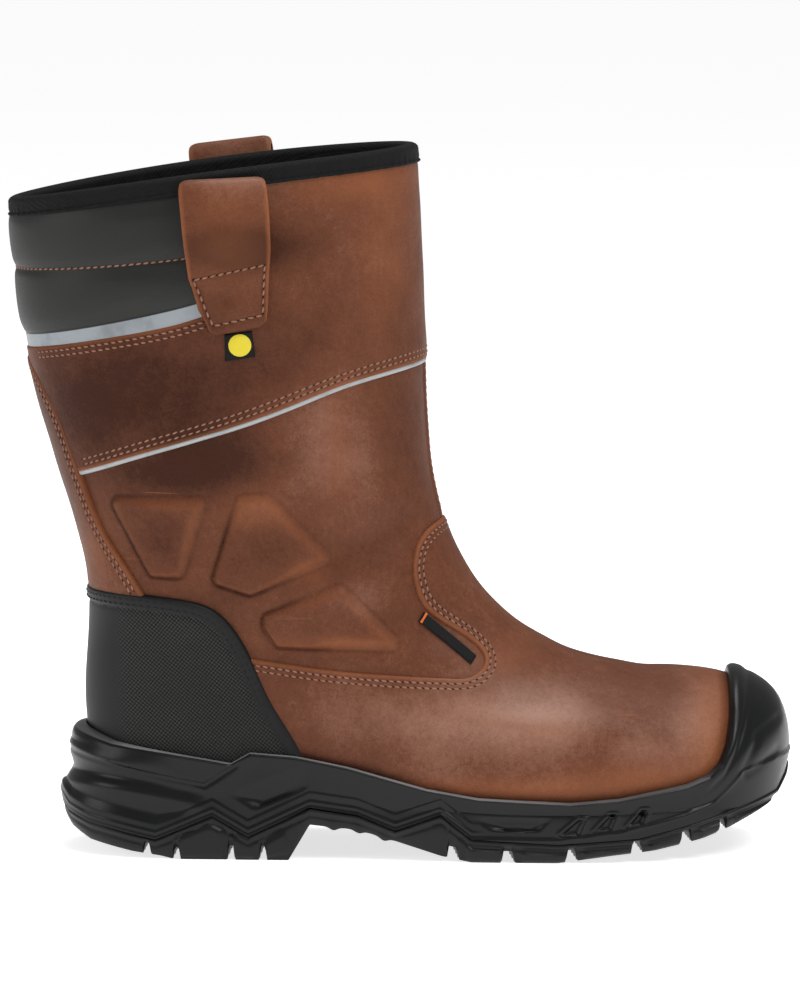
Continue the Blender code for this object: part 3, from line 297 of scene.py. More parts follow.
@dataclass(frozen=True)
class Last:
    """Surface of the upper: a foot that widens to a round toe, and an oval shaft over it.

    A level runs from 0 at the feather edge to 1 at the collar. At each level a loop goes round the boot.
    Its side view runs from the back profile to the front profile and sags on the way. The half width
    follows the foot below and the shaft above, and closes to 0 at both profiles.
    """

    foot_top: float = 50.0
    shaft_start: float = 128.0
    sag_scale: float = 6.75
    toe_swing: float = 9.0
    swing_start: float = -30.0
    swing_run: float = 190.0
    tuck: float = 0.09
    tuck_bottom: float = 20.0
    tuck_height: float = 22.0
    lean_reach: float = 0.03
    tangent_step: float = 0.004
    front: Array = field(default_factory=lambda: smooth_line(FRONT_PROFILE, 1200))
    back: Array = field(default_factory=lambda: smooth_line(BACK_PROFILE, 1200))

    def at_level(self, curve: Array, v: Array) -> tuple[Array, Array]:
        """Side-view point of a profile at a level."""
        levels = np.linspace(0, 1, len(curve))
        return np.interp(v, levels, curve[:, 0]), np.interp(v, levels, curve[:, 1])

    def trace(self, s: Array, v: Array) -> tuple[Array, Array]:
        """Side-view point at fraction s from back to front on the loop at level v."""
        back_x, back_z = self.at_level(self.back, v)
        front_x, front_z = self.at_level(self.front, v)
        sag = spline(ROUNDINGS[:, 0], ROUNDINGS[:, 3], v) * self.sag_scale * s * s * (1 - s)
        return back_x + (front_x - back_x) * s, back_z + (front_z - back_z) * s - sag

    def lean(self, v: Array) -> Array:
        """Sine of the angle at which a loop meets the front profile."""
        above_x, above_z = self.at_level(self.front, np.clip(v + self.lean_reach, 0, 1))
        below_x, below_z = self.at_level(self.front, np.clip(v - self.lean_reach, 0, 1))
        back_x, back_z = self.at_level(self.back, v)
        front_x, front_z = self.at_level(self.front, v)
        rise_x, rise_z = above_x - below_x, above_z - below_z
        run_x = front_x - back_x
        run_z = front_z - back_z + self.sag_scale * spline(ROUNDINGS[:, 0], ROUNDINGS[:, 3], v)
        return (run_x * rise_z - run_z * rise_x) / (np.hypot(rise_x, rise_z) * np.hypot(run_x, run_z))

    def half_width(self, s: Array, v: Array, column: int) -> Array:
        """Half the width: foot's and shaft's blended by height, times both roundings and the tuck."""
        x, z = self.trace(s, v)
        foot = spline(FOOT_WIDTHS[:, 0], FOOT_WIDTHS[:, column], x)
        shaft = spline(SHAFT_WIDTHS[:, 0], SHAFT_WIDTHS[:, column], z)
        climb = np.clip((z - self.foot_top) / (self.shaft_start - self.foot_top), 0, 1)
        width = foot + (shaft - foot) * climb ** 3 * (climb * (6 * climb - 15) + 10)
        length = self.at_level(self.front, v)[0] - self.at_level(self.back, v)[0]
        ahead = (1 - s) * length * self.lean(v) / spline(ROUNDINGS[:, 0], ROUNDINGS[:, 1], v)
        behind = s * length / spline(ROUNDINGS[:, 0], ROUNDINGS[:, 2], v)
        for depth in (ahead, behind):
            width = width * np.sqrt(1 - (1 - np.clip(depth, 0, 1)) ** 3)
        low = np.clip((z - self.tuck_bottom) / self.tuck_height, 0, 1)
        return width * (1 - self.tuck * (1 - low) ** 2)

    def swing(self, x: Array) -> Array:
        """How far the middle line swings to the inner side, by the square of the way forward."""
        return self.toe_swing * (np.clip(x - self.swing_start, 0, None) / self.swing_run) ** 2

    def point(self, turn: Array, v: Array) -> Array:
        """Point of the outer face at a turn, once round from the back by the outer side, and a level."""
        turn = np.mod(turn, 2 * np.pi)
        s = (1 - np.cos(turn)) / 2
        x, z = self.trace(s, v)
        y = np.where(turn > np.pi, self.half_width(s, v, 2), -self.half_width(s, v, 1))
        return np.stack([x, y + self.swing(x), z], -1)

    def frame_at(self, turn: Array, v: Array) -> tuple[Array, Array, Array]:
        """Point of the smooth outer face, its outward normal and its upward tangent."""
        turn, v = np.broadcast_arrays(turn, v)
        step = self.tangent_step
        across = self.point(turn + step, v) - self.point(turn - step, v)
        up = self.point(turn, np.clip(v + step, 0, 1)) - self.point(turn, np.clip(v - step, 0, 1))
        return self.point(turn, v), unit(np.cross(across, up)), unit(up)

    def relief(self, x: Array, z: Array) -> Array:
        """Heights of creases and slight waves: a bell across each path, and a few long sines."""
        found = 0.22 * np.sin(x / 13.0 + z / 21.0) * np.sin(z / 17.0 - x / 31.0)
        found = found + 0.16 * np.sin(x / 7.0 - z / 9.5 + 1.3) * np.sin(z / 12.0 + 0.6)
        found = found * smoothstep(35.0, 60.0, z)
        for path, depth, width in CREASES:
            found = found - depth * bell(path_distance(path, x, z), width)
        return found * smoothstep(5.0, 28.0, self.collar_height(x) - z)

    def face(self, turn: Array, v: Array) -> tuple[Array, Array]:
        """Point of the outer face with its creases, and its outward normal."""
        place, normal, _ = self.frame_at(turn, v)
        return place + normal * self.relief(place[..., 0], place[..., 2])[..., None], normal

    def locate(self, x: Array, z: Array) -> tuple[Array, Array]:
        """Fraction and level of a side-view point, found by halving."""
        low = np.zeros(np.shape(x))
        high = np.ones(np.shape(x))
        for _ in range(36):
            v = (low + high) / 2
            back_x, front_x = self.at_level(self.back, v)[0], self.at_level(self.front, v)[0]
            s = np.clip((x - back_x) / (front_x - back_x), 0, 1)
            below = self.trace(s, v)[1] < z
            low = np.where(below, v, low)
            high = np.where(below, high, v)
        return s, low

    def out_from(self, x: Array, z: Array, side: Array, offset: Array) -> tuple[Array, Array]:
        """Point at a distance out from the creased face where the side view shows (x, z), and its normal.

        Args:
            x: Place along the boot.
            z: Height; above the collar the piece runs straight on.
            side: -1 on the outer side, 1 on the inner side.
            offset: Distance out from the face.

        Returns:
            The points and the outward normals there.
        """
        top = self.collar_height(x) - 0.5
        s, v = self.locate(x, np.minimum(z, top))
        turn = np.arccos(np.clip(1 - 2 * s, -1, 1))
        place, normal = self.face(np.where(np.asarray(side) < 0, turn, 2 * np.pi - turn), v)
        place = place + normal * np.asarray(offset)[..., None]
        place[..., 2] += np.maximum(z - top, 0)
        return place, normal

    def collar_height(self, x: Array) -> Array:
        """Height of the upper's top edge, a straight run from back to front in the side view."""
        share = np.clip((x - self.back[-1, 0]) / (self.front[-1, 0] - self.back[-1, 0]), 0, 1)
        return self.back[-1, 1] + (self.front[-1, 1] - self.back[-1, 1]) * share


LAST = Last()


@dataclass
class Shape:
    """Points in millimetres, faces, and each point's distance from an edge, tone with painted shading, and
    warmth.
    """

    points: Array
    faces: list[Array]
    edge: Array | float = FAR
    tone: Array | float = 0.0
    warm: Array | float = 0.0

    def corners(self) -> list[list[int]]:
        """Faces as lists, with the doubled corners of collapsed quads taken out."""
        found: list[list[int]] = []
        for block in self.faces:
            doubled = (block == np.roll(block, -1, axis=1)).any(1)
            found += block[~doubled].tolist()
            found += [list(dict.fromkeys(row)) for row in block[doubled].tolist() if len(set(row)) > 2]
        return found


def joined(shapes: Sequence[Shape]) -> Shape:
    """Several shapes as one."""
    starts = np.cumsum([0] + [len(shape.points) for shape in shapes[:-1]])
    faces = [block + start for shape, start in zip(shapes, starts) for block in shape.faces]
    return Shape(np.concatenate([shape.points for shape in shapes]), faces)


def numbered(place: Array) -> Array:
    """Grid of point numbers for a grid of places."""
    rows, columns = place.shape[:2]
    return np.arange(rows * columns).reshape(rows, columns)


def net(index: Array, closed: bool = False) -> Array:
    """Quads over a grid of point numbers, rows upwards and columns to the right seen from outside."""
    after = np.roll(index, -1, axis=1)
    quads = np.stack([index[:-1], after[:-1], after[1:], index[1:]], -1)
    return (quads if closed else quads[:, :-1]).reshape(-1, 4)


def ladder(ring: Array) -> Array:
    """Quads that close a ring by rungs from its first half to its second half."""
    half = len(ring) // 2
    one = ring[:half + 1]
    two = np.concatenate([ring[:1], ring[:half - 1:-1]])
    return np.stack([one[:-1], one[1:], two[1:], two[:-1]], 1)


@dataclass(frozen=True)
class Edge:
    """An edge laid on the upper: places on its face, outward normals and directions along it."""

    place: Array
    normal: Array
    along: Array


class Skin:
    """Dense net over the upper's creased face, from which panels are cut."""

    def __init__(self, columns: int = 560, rows: int = 280) -> None:
        """Works out the net's places and normals.

        Args:
            columns: Places round the boot.
            rows: Levels from feather edge to collar.
        """
        turn, v = np.meshgrid(np.arange(columns) * 2 * np.pi / columns, np.linspace(0, 1, rows))
        self.place, self.normal = LAST.face(turn, v)
        base = LAST.point(turn, v)
        self.x, self.z = base[..., 0], base[..., 2]

    @staticmethod
    def lay(line: Array, side: Side) -> list[Edge]:
        """Lays a side-view line on the upper's face, in the runs that meet it.

        Args:
            line: Side-view points.
            side: Side of the boot.

        Returns:
            One edge for each run of the line over the boot.
        """
        fine, close, fewest, spacing = 0.06, 0.12, 12, 0.7
        dense = evenly(np.asarray(line, float), int(runs(line).sum() / fine) + 2)
        s, v = LAST.locate(dense[:, 0], dense[:, 1])
        x, z = LAST.trace(s, v)
        on = np.hypot(x - dense[:, 0], z - dense[:, 1]) < close
        turn = np.arccos(np.clip(1 - 2 * s, -1, 1))
        turn = turn if side is Side.OUTER else 2 * np.pi - turn
        ends = np.flatnonzero(np.diff(np.concatenate([[0], on.astype(int), [0]])))
        edges = []
        for first, last in zip(ends[::2], ends[1::2]):
            if last - first < fewest:
                continue
            run = slice(first, last)
            place, normal = LAST.face(turn[run], v[run])
            rows = evenly(np.hstack([place, normal]), max(int(runs(place).sum() / spacing), 3))
            edges.append(Edge(rows[:, :3], unit(rows[:, 3:]), unit(np.gradient(rows[:, :3], axis=0))))
        return edges

    def distance(self, edges: Sequence[Edge], near: Array) -> Array:
        """Distance of places from laid edges: to the nearest place, then to the runs on both its sides."""
        unmeasured, batch = 99.0, 12000
        found = np.full(self.x.shape, unmeasured)
        spots = self.place[near]
        best = np.full(len(spots), unmeasured)
        for edge in edges:
            rows = edge.place
            for start in range(0, len(spots), batch):
                part = spots[start:start + batch]
                square = (rows ** 2).sum(1)[None] - 2 * part @ rows.T
                k = np.argmin(square, axis=1)
                away = np.full(len(part), np.inf)
                for low in (np.clip(k - 1, 0, len(rows) - 2), np.clip(k, 0, len(rows) - 2)):
                    a, along = rows[low], rows[low + 1] - rows[low]
                    share = np.sum((part - a) * along, 1) / np.maximum(np.sum(along * along, 1), 1e-9)
                    gap = part - a - along * np.clip(share, 0, 1)[:, None]
                    away = np.minimum(away, np.linalg.norm(gap, axis=1))
                best[start:start + batch] = np.minimum(best[start:start + batch], away)
        found[near] = best
        return found

    def cut(self, field_at: Array, rise: Array, edge_at: Array, low: float, roll: float) -> Shape:
        """Closed piece over the part of the net where a field is positive, with a rounded edge.

        A place next to the field's 0 line is moved onto it along the net, so the piece ends in a smooth line.
        The rim then falls from the top to the underside in a quarter round.

        Args:
            field_at: Signed distance to the line where the rounding starts, positive inside.
            rise: Height of the piece's top over the upper's face.
            edge_at: Distance from the piece's edge.
            low: Height of its underside.
            roll: Radius of the rounding.

        Returns:
            The closed shape.
        """
        rows, columns = field_at.shape
        share = np.full(field_at.shape, np.inf)
        own_row, own_column = np.mgrid[:rows, :columns]
        to_row, to_column = own_row, own_column
        for row_step, column_step in ((1, 0), (-1, 0), (0, 1), (0, -1)):
            other_row = np.clip(own_row + row_step, 0, rows - 1)
            other_column = (own_column + column_step) % columns
            other = field_at[other_row, other_column]
            crossing = (field_at * other < 0) & (np.abs(field_at) <= np.abs(other))
            part = field_at / np.where(crossing, field_at - other, 1)
            better = crossing & (part < share)
            share = np.where(better, part, share)
            to_row = np.where(better, other_row, to_row)
            to_column = np.where(better, other_column, to_column)
        moved = np.isfinite(share)
        blend = np.where(moved, share, 0.0)

        def settled(values: Array) -> Array:
            """Values of the net after its places have moved."""
            part = blend if values.ndim == 2 else blend[..., None]
            return values + (values[to_row, to_column] - values) * part

        state = np.where(moved, 0, np.sign(field_at)).astype(int).ravel()
        base = settled(self.place).reshape(-1, 3)
        normal = unit(settled(self.normal)).reshape(-1, 3)
        height = settled(rise).ravel()
        edge = settled(edge_at).ravel()
        quads = net(numbered(field_at), closed=True)
        kinds = state[quads]
        whole = quads[(kinds >= 0).all(1) & (kinds > 0).any(1)]
        halves = []
        for corner in range(4):
            rest = [(corner + k) % 4 for k in (1, 2, 3)]
            fits = (kinds[:, corner] < 0) & (kinds[:, rest] >= 0).all(1) & (kinds[:, rest] > 0).any(1)
            halves.append(quads[fits][:, rest])
        thirds = np.concatenate(halves)
        used = np.unique(np.concatenate([whole.ravel(), thirds.ravel()]))
        number = np.zeros(rows * columns, int)
        number[used] = np.arange(len(used))
        whole, thirds = number[whole], number[thirds]
        base, normal, height, edge = base[used], normal[used], height[used], edge[used]
        return rimmed(base, normal, height, edge, [whole, thirds], low, roll)


def rimmed(base: Array, normal: Array, height: Array, edge: Array, faces: list[Array], low: float,
           roll: float) -> Shape:
    """Closed piece from a sheet: its top, a quarter-round rim along every free edge, and its underside.

    Args:
        base: Places on the face below the piece.
        normal: Outward normals there.
        height: Height of the top over the base.
        edge: Distance from the piece's edge.
        faces: Quads and triangles of the sheet.
        low: Height of the underside.
        roll: Radius of the rim.

    Returns:
        The closed shape.
    """
    count = len(base)
    pairs = np.concatenate([
        np.stack([block.ravel(), np.roll(block, -1, axis=1).ravel()], 1) for block in faces])
    code = pairs[:, 0] * count + pairs[:, 1]
    free = pairs[~np.isin(code, pairs[:, 1] * count + pairs[:, 0])]
    away = np.zeros((count, 3))
    side = np.cross(unit(base[free[:, 1]] - base[free[:, 0]]), normal[free[:, 0]])
    np.add.at(away, free[:, 0], side)
    np.add.at(away, free[:, 1], side)
    border = np.unique(free)
    place_of = np.zeros(count, int)
    place_of[border] = np.arange(len(border))
    out = unit(away[border])
    points = [base + normal * height[:, None]]
    edges = [edge]
    blocks = list(faces)
    start, end = free[:, 0], free[:, 1]
    total = count
    for angle in np.radians([30.0, 60.0, 90.0]):
        level = low + (height[border] - low) * np.cos(angle)
        ring = base[border] + out * roll * np.sin(angle) + normal[border] * level[:, None]
        points.append(ring)
        edges.append(np.full(len(border), roll * (1 - np.sin(angle))))
        next_start, next_end = total + place_of[free[:, 0]], total + place_of[free[:, 1]]
        blocks.append(np.stack([end, start, next_start, next_end], 1))
        start, end = next_start, next_end
        total += len(border)
    under = np.arange(count) + total
    under[border] = total - len(border) + np.arange(len(border))
    points.append(base + normal * low)
    edges.append(edge)
    blocks += [under[block][:, ::-1] for block in faces]
    return compact(Shape(np.concatenate(points), blocks, np.concatenate(edges)))


def compact(shape: Shape) -> Shape:
    """Shape without the points that no face uses."""
    used = np.unique(np.concatenate([block.ravel() for block in shape.faces]))
    number = np.zeros(len(shape.points), int)
    number[used] = np.arange(len(used))
    edge = np.full(len(shape.points), shape.edge)[used]
    return Shape(shape.points[used], [number[block] for block in shape.faces], edge)


def plate(place: Array, normal: Array, low: float, high: Array, edge: Array | float) -> Shape:
    """Closed plate on a grid of places, between two heights along the normals.

    Args:
        place: Grid of places, rows upwards and columns to the right seen from outside.
        normal: Outward normals there.
        low: Height of the underside.
        high: Height of the top.
        edge: Distance from the plate's edge.

    Returns:
        The closed shape.
    """
    grid = numbered(place)
    under = grid + grid.size
    border = np.concatenate([grid[0, :-1], grid[:-1, -1], grid[-1, :0:-1], grid[:0:-1, 0]])
    beneath = border + grid.size
    walls = np.stack([np.roll(border, -1), border, beneath, np.roll(beneath, -1)], 1)
    top = place + normal * high[..., None]
    points = np.concatenate([top.reshape(-1, 3), (place + normal * low).reshape(-1, 3)])
    near = np.full(grid.shape, edge).ravel()
    return Shape(points, [net(grid), net(under)[:, ::-1], walls], np.concatenate([near, near]))


class Wire:
    """Output of a shader node, with arithmetic that adds Math nodes."""

    def __init__(self, graph: Graph, socket: bpy.types.NodeSocket) -> None:
        """Keeps the graph and the socket."""
        self.graph = graph
        self.socket = socket

    def __add__(self, other: Wire | float) -> Wire:
        """Sum."""
        return self.graph.math("ADD", self, other)

    def __radd__(self, other: float) -> Wire:
        """Sum with a number before it."""
        return self.graph.math("ADD", other, self)

    def __sub__(self, other: Wire | float) -> Wire:
        """Difference."""
        return self.graph.math("SUBTRACT", self, other)

    def __rsub__(self, other: float) -> Wire:
        """Difference from a number."""
        return self.graph.math("SUBTRACT", other, self)

    def __mul__(self, other: Wire | float) -> Wire:
        """Product."""
        return self.graph.math("MULTIPLY", self, other)

    def sine(self) -> Wire:
        """Sine of the value."""
        return self.graph.math("SINE", self)

    def clamped(self) -> Wire:
        """Value kept between 0 and 1."""
        return self.graph.math("ADD", self, 0.0, clamp=True)


class Graph:
    """Node tree of one material."""

    def __init__(self, name: str) -> None:
        """Starts an empty material.

        Args:
            name: Name of the material.
        """
        self.material = bpy.data.materials.new(name)
        self.material.use_nodes = True
        self.tree = self.material.node_tree
        self.tree.nodes.clear()
        self.coords = self.node("ShaderNodeTexCoord", output="Object")

    def node(self, kind: str, settings: dict | None = None, inputs: dict | None = None,
             output: str | int = 0) -> Wire:
        """Adds a node.

        Args:
            kind: Node type.
            settings: Node properties, set first; stops are a colour ramp's places and colours.
            inputs: Socket values or wires by name or number.
            output: Output wanted.

        Returns:
            The output as a wire.
        """
        made = self.tree.nodes.new(kind)
        for key, value in (settings or {}).items():
            if key == "stops":
                ramp = made.color_ramp
                while len(ramp.elements) < len(value):
                    ramp.elements.new(1.0)
                for element, (place, colour) in zip(ramp.elements, value):
                    element.position = place
                    element.color = (*colour, 1.0)
            else:
                setattr(made, key, value)
        for key, value in (inputs or {}).items():
            if isinstance(value, Wire):
                self.tree.links.new(value.socket, made.inputs[key])
            else:
                made.inputs[key].default_value = value
        return Wire(self, made.outputs[output])

    def math(self, operation: str, a: Wire | float, b: Wire | float = 0.0, clamp: bool = False) -> Wire:
        """Math node on two values."""
        return self.node("ShaderNodeMath", {"operation": operation, "use_clamp": clamp}, {0: a, 1: b})

    def mix(self, share: Wire | float, one: Wire | Colour, two: Wire | Colour) -> Wire:
        """Colour between two colours."""
        inputs = {0: share}
        for key, colour in ((6, one), (7, two)):
            inputs[key] = colour if isinstance(colour, Wire) else (*colour, 1.0)
        return self.node("ShaderNodeMix", {"data_type": "RGBA"}, inputs, 2)

    def step(self, low: float, high: float, value: Wire) -> Wire:
        """Soft step of a value from 0 at low to 1 at high."""
        settings = {"interpolation_type": "SMOOTHSTEP"}
        return self.node("ShaderNodeMapRange", settings, {"Value": value, "From Min": low, "From Max": high})

    def moved(self, scale: tuple[float, float, float], turn: tuple[float, float, float] = (0, 0, 0)) -> Wire:
        """Object coordinates, turned and scaled."""
        return self.node("ShaderNodeMapping", None, {"Vector": self.coords, "Rotation": turn, "Scale": scale})

    def noise(self, scale: float, detail: float = 3.0, rough: float = 0.55, at: Wire | None = None) -> Wire:
        """Cloudy noise; the scale is in features to the metre."""
        return self.node("ShaderNodeTexNoise", None, {
            "Vector": at or self.coords, "Scale": scale, "Detail": detail, "Roughness": rough})

    def cells(self, scale: float) -> Wire:
        """Distance from the middles of small cells."""
        return self.node("ShaderNodeTexVoronoi", None, {"Vector": self.coords, "Scale": scale})

    def attribute(self, name: str) -> Wire:
        """Number kept on the mesh."""
        return self.node("ShaderNodeAttribute", {"attribute_name": name}, None, "Fac")

    def part(self, axis: str) -> Wire:
        """One axis of the object coordinates, in metres."""
        return self.node("ShaderNodeSeparateXYZ", None, {0: self.coords}, axis)

    def bump(self, height: Wire, strength: float, distance: float, below: Wire | None = None) -> Wire:
        """Normal bent by a height; the distance is in metres."""
        inputs = {"Height": height, "Strength": strength, "Distance": distance}
        if below:
            inputs["Normal"] = below
        return self.node("ShaderNodeBump", None, inputs)

    def finish(self, inputs: dict) -> bpy.types.Material:
        """Closes the tree with a principled shader and gives the material."""
        shader = self.node("ShaderNodeBsdfPrincipled", None, inputs)
        end = self.tree.nodes.new("ShaderNodeOutputMaterial")
        self.tree.links.new(shader.socket, end.inputs["Surface"])
        return self.material


@dataclass(frozen=True)
class Leather:
    """Waxed leather: cloudy browns, lighter and more orange where it is stretched or cut, with a fine grain.
    Placed tones also paint shade and sheen.

    Light places are waxier and have a soft coat.
    """

    name: str = "waxed_leather"
    dark: Colour = (0.042, 0.0120, 0.0052)
    middle: Colour = (0.132, 0.045, 0.0225)
    light: Colour = (0.285, 0.134, 0.086)
    raw: Colour = (0.325, 0.108, 0.042)

    def make(self) -> bpy.types.Material:
        """Builds the material: noise and placed tones, painted shading among them, choose the brown, warmth
        and cut edges the orange.
        """
        g = Graph(self.name)
        cloud = g.noise(26.0, 5.0, 0.6)
        smoke = g.noise(9.0, 3.0)
        mottle = g.noise(95.0, 5.0, 0.68)
        speck = g.noise(420.0, 4.0, 0.75)
        nap = g.noise(1500.0, 2.0, 0.6)
        # The tone attribute holds the placed tones, painted shade and sheen among them.
        tone = g.attribute("tone") * 0.46
        value = (cloud - 0.5) * 0.55 + (smoke - 0.5) * 0.3 + (mottle - 0.5) * 0.32 + (speck - 0.5) * 0.42 \
            + (nap - 0.5) * 0.3 + tone + 0.45
        stops = [(0.0, self.dark), (0.5, self.middle), (1.0, self.light)]
        base = g.node("ShaderNodeValToRGB", {"stops": stops}, {0: value})
        wear = 1.0 - g.step(0.3, 2.2, g.attribute("edge"))
        warm = (g.attribute("warm") * 0.75 + wear * 0.5) * (0.45 + cloud * 0.9)
        base = g.mix(warm.clamped(), base, self.raw)
        line = g.noise(1.0, 2.0, 0.5, g.moved((16.0, 60.0, 430.0), (0.0, 0.5, 0.2)))
        patch = g.step(0.52, 0.72, g.noise(17.0, 2.0))
        scratch = g.step(0.70, 0.74, line) * patch
        base = g.mix(scratch * 0.4, base, self.raw)
        pore = 1.0 - g.step(0.05, 0.4, g.cells(720.0))
        base = g.mix(pore * 0.22, base, self.dark)
        rough = 0.5 + (speck - 0.5) * 0.26 - (mottle - 0.5) * 0.2 + wear * 0.12
        grain = g.cells(700.0) * 0.6 + speck * 0.8 + nap * 0.3 - scratch * 0.25
        fine = g.bump(grain, 0.3, 0.0005)
        normal = g.bump(g.noise(75.0, 3.0), 0.28, 0.0018, fine)
        sheen = (g.attribute("tone") * 0.45).clamped()
        return g.finish({"Base Color": base, "Roughness": rough, "Normal": normal, "Specular IOR Level": 0.11,
                         "Coat Weight": sheen, "Coat Roughness": 0.42})


@dataclass(frozen=True)
class Rubber:
    """Moulded sole: near black, satin, with a faint skin and a painted highlight along the lip."""

    name: str = "moulded_rubber"
    colour: Colour = (0.0036, 0.0038, 0.0040)
    worn: Colour = (0.0085, 0.0088, 0.0090)
    rough: float = 0.31
    lip_highlight: Colour = (0.26, 0.262, 0.262)

    def make(self) -> bpy.types.Material:
        """Builds the material: a cloud and a fine skin vary colour and gloss, and the edge attribute paints a
        highlight on the lip.
        """
        g = Graph(self.name)
        cloud = g.noise(45.0, 4.0)
        skin = g.noise(900.0, 2.0)
        base = g.mix((cloud * 0.8 + skin * 0.2).clamped(), self.colour, self.worn)
        # Painted highlight on the lip, where the midsole's edge attribute is low.
        rubbed_and_highlit = 1.0 - g.step(0.0, 5.0, g.attribute("edge"))
        base = g.mix(rubbed_and_highlit * (0.5 + cloud * 0.6), base, self.lip_highlight)
        rough = self.rough + (cloud - 0.5) * 0.14 + (skin - 0.5) * 0.1
        return g.finish({"Base Color": base, "Roughness": rough, "Normal": g.bump(skin, 0.12, 0.0003),
                         "Specular IOR Level": 0.24})


@dataclass(frozen=True)
class CounterWeave:
    """Coated coarse weave of the heel counter, plain at the back and along its rolled edge."""

    name: str = "counter_weave"
    cell: float = 0.9
    low: Colour = (0.0035, 0.0035, 0.0035)
    high: Colour = (0.037, 0.037, 0.0345)
    plain: Colour = (0.0085, 0.0087, 0.0090)

    def make(self) -> bpy.types.Material:
        """Builds the material: two sines multiplied make the weave, masked by back strip and edge."""
        g = Graph(self.name)
        x, z = g.part("X"), g.part("Z")
        pitch = np.pi / (self.cell * MM)
        weave = (x * pitch + z * (0.12 * pitch)).sine() * (z * pitch - x * (0.12 * pitch)).sine()
        knot = g.step(-0.55, 0.75, weave)
        woven = g.step(-0.121, -0.114, x) * g.step(5.2, 6.6, g.attribute("edge"))
        cloud = g.noise(40.0, 3.0)
        cloth = g.mix(knot * (0.55 + cloud * 0.8), self.low, self.high)
        base = g.mix(woven, self.plain, cloth)
        skin = g.noise(700.0, 2.0)
        height = knot * woven + skin * 0.12
        rough = 0.5 + woven * 0.14 + (cloud - 0.5) * 0.1
        return g.finish({"Base Color": base, "Roughness": rough, "Normal": g.bump(height, 0.5, 0.0006),
                         "Specular IOR Level": 0.2})


@dataclass(frozen=True)
class Padding:
    """Soft smooth cover of the collar pad, dark grey with a fine grain."""

    name: str = "pad_cover"
    colour: Colour = (0.0098, 0.0097, 0.0090)
    worn: Colour = (0.0158, 0.0155, 0.0145)

    def make(self) -> bpy.types.Material:
        """Builds the material from a cloud of two greys and a cell grain."""
        g = Graph(self.name)
        cloud = g.noise(30.0, 3.0)
        grain = g.cells(1100.0)
        base = g.mix(cloud, self.colour, self.worn)
        rough = 0.44 + (cloud - 0.5) * 0.12 + grain * 0.08
        return g.finish({"Base Color": base, "Roughness": rough, "Normal": g.bump(grain, 0.1, 0.0003),
                         "Specular IOR Level": 0.3})


@dataclass(frozen=True)
class Tape:
    """Reflective tape: grey with a fine beaded face and a few rubbed places."""

    name: str = "reflective_tape"
    colour: Colour = (0.27, 0.295, 0.315)
    rubbed_and_highlit: Colour = (0.19, 0.207, 0.22)
    metal: float = 0.25
    dark_band: Colour = (0.006, 0.006, 0.006)

    def make(self) -> bpy.types.Material:
        """Builds the material: beads bend the light, a cloud dulls it, a painted shadow sits under the pad's
        edge.
        """
        g = Graph(self.name)
        cloud = g.noise(60.0, 4.0, 0.65)
        bead = g.cells(2600.0)
        base = g.mix(g.step(0.45, 0.75, cloud), self.colour, self.rubbed_and_highlit)
        # Painted shadow: a thin dark line along the tape's top edge under the pad.
        base = g.mix(g.step(2.45, 2.8, g.attribute("edge")), self.dark_band, base)
        rough = 0.36 + cloud * 0.14
        return g.finish({"Base Color": base, "Roughness": rough, "Metallic": self.metal,
                         "Normal": g.bump(bead, 0.12, 0.0002)})


@dataclass(frozen=True)
class Textile:
    """Woven or felted cloth in one colour: crossed threads, fluff and slight fading."""

    name: str
    colour: Colour
    faded: Colour
    cell: float = 0.9
    weave: float = 1.0
    bump: float = 0.4

    def make(self) -> bpy.types.Material:
        """Builds the material: crossed sines along the diagonals make the threads, noise the fluff."""
        g = Graph(self.name)
        x, y, z = g.part("X"), g.part("Y"), g.part("Z")
        pitch = np.pi / (self.cell * MM)
        threads = ((x + y) * pitch).sine() * ((z + (x - y) * 0.3) * pitch).sine()
        fluff = g.noise(1500.0, 3.0, 0.7)
        cloud = g.noise(50.0, 3.0)
        height = threads * (0.5 * self.weave) + fluff
        base = g.mix((cloud * 0.7 + height * 0.35).clamped(), self.colour, self.faded)
        rough = 0.78 + (fluff - 0.5) * 0.2
        return g.finish({"Base Color": base, "Roughness": rough, "Normal": g.bump(height, self.bump, 0.0005),
                         "Specular IOR Level": 0.15})


@dataclass(frozen=True)
class Thread:
    """Sewing thread: a dull twist with lighter and darker stitches."""

    name: str
    colour: Colour
    light: Colour

    def make(self) -> bpy.types.Material:
        """Builds the material from a noise that changes by the stitch and a fine one for the fibres."""
        g = Graph(self.name)
        fibre = g.noise(2200.0, 2.0, 0.7)
        base = g.mix((g.noise(240.0, 2.0) * 0.7 + fibre * 0.3).clamped(), self.colour, self.light)
        rough = 0.55 + fibre * 0.2
        return g.finish({"Base Color": base, "Roughness": rough, "Normal": g.bump(fibre, 0.3, 0.0002),
                         "Specular IOR Level": 0.12})


@dataclass(frozen=True)
class Studio:
    """Pale backdrop paper."""

    name: str = "floor_paper"
    colour: Colour = (0.86, 0.86, 0.86)
    shade: Colour = (0.84, 0.84, 0.84)
    glow: float = 0.72

    def make(self) -> bpy.types.Material:
        """Builds the material from a faint cloud; it is lit from below, like a light table."""
        g = Graph(self.name)
        base = g.mix(g.noise(2.0, 2.0), self.colour, self.shade)
        return g.finish({"Base Color": base, "Roughness": 0.9, "Specular IOR Level": 0.0,
                         "Emission Color": (1.0, 1.0, 1.0, 1.0), "Emission Strength": self.glow})


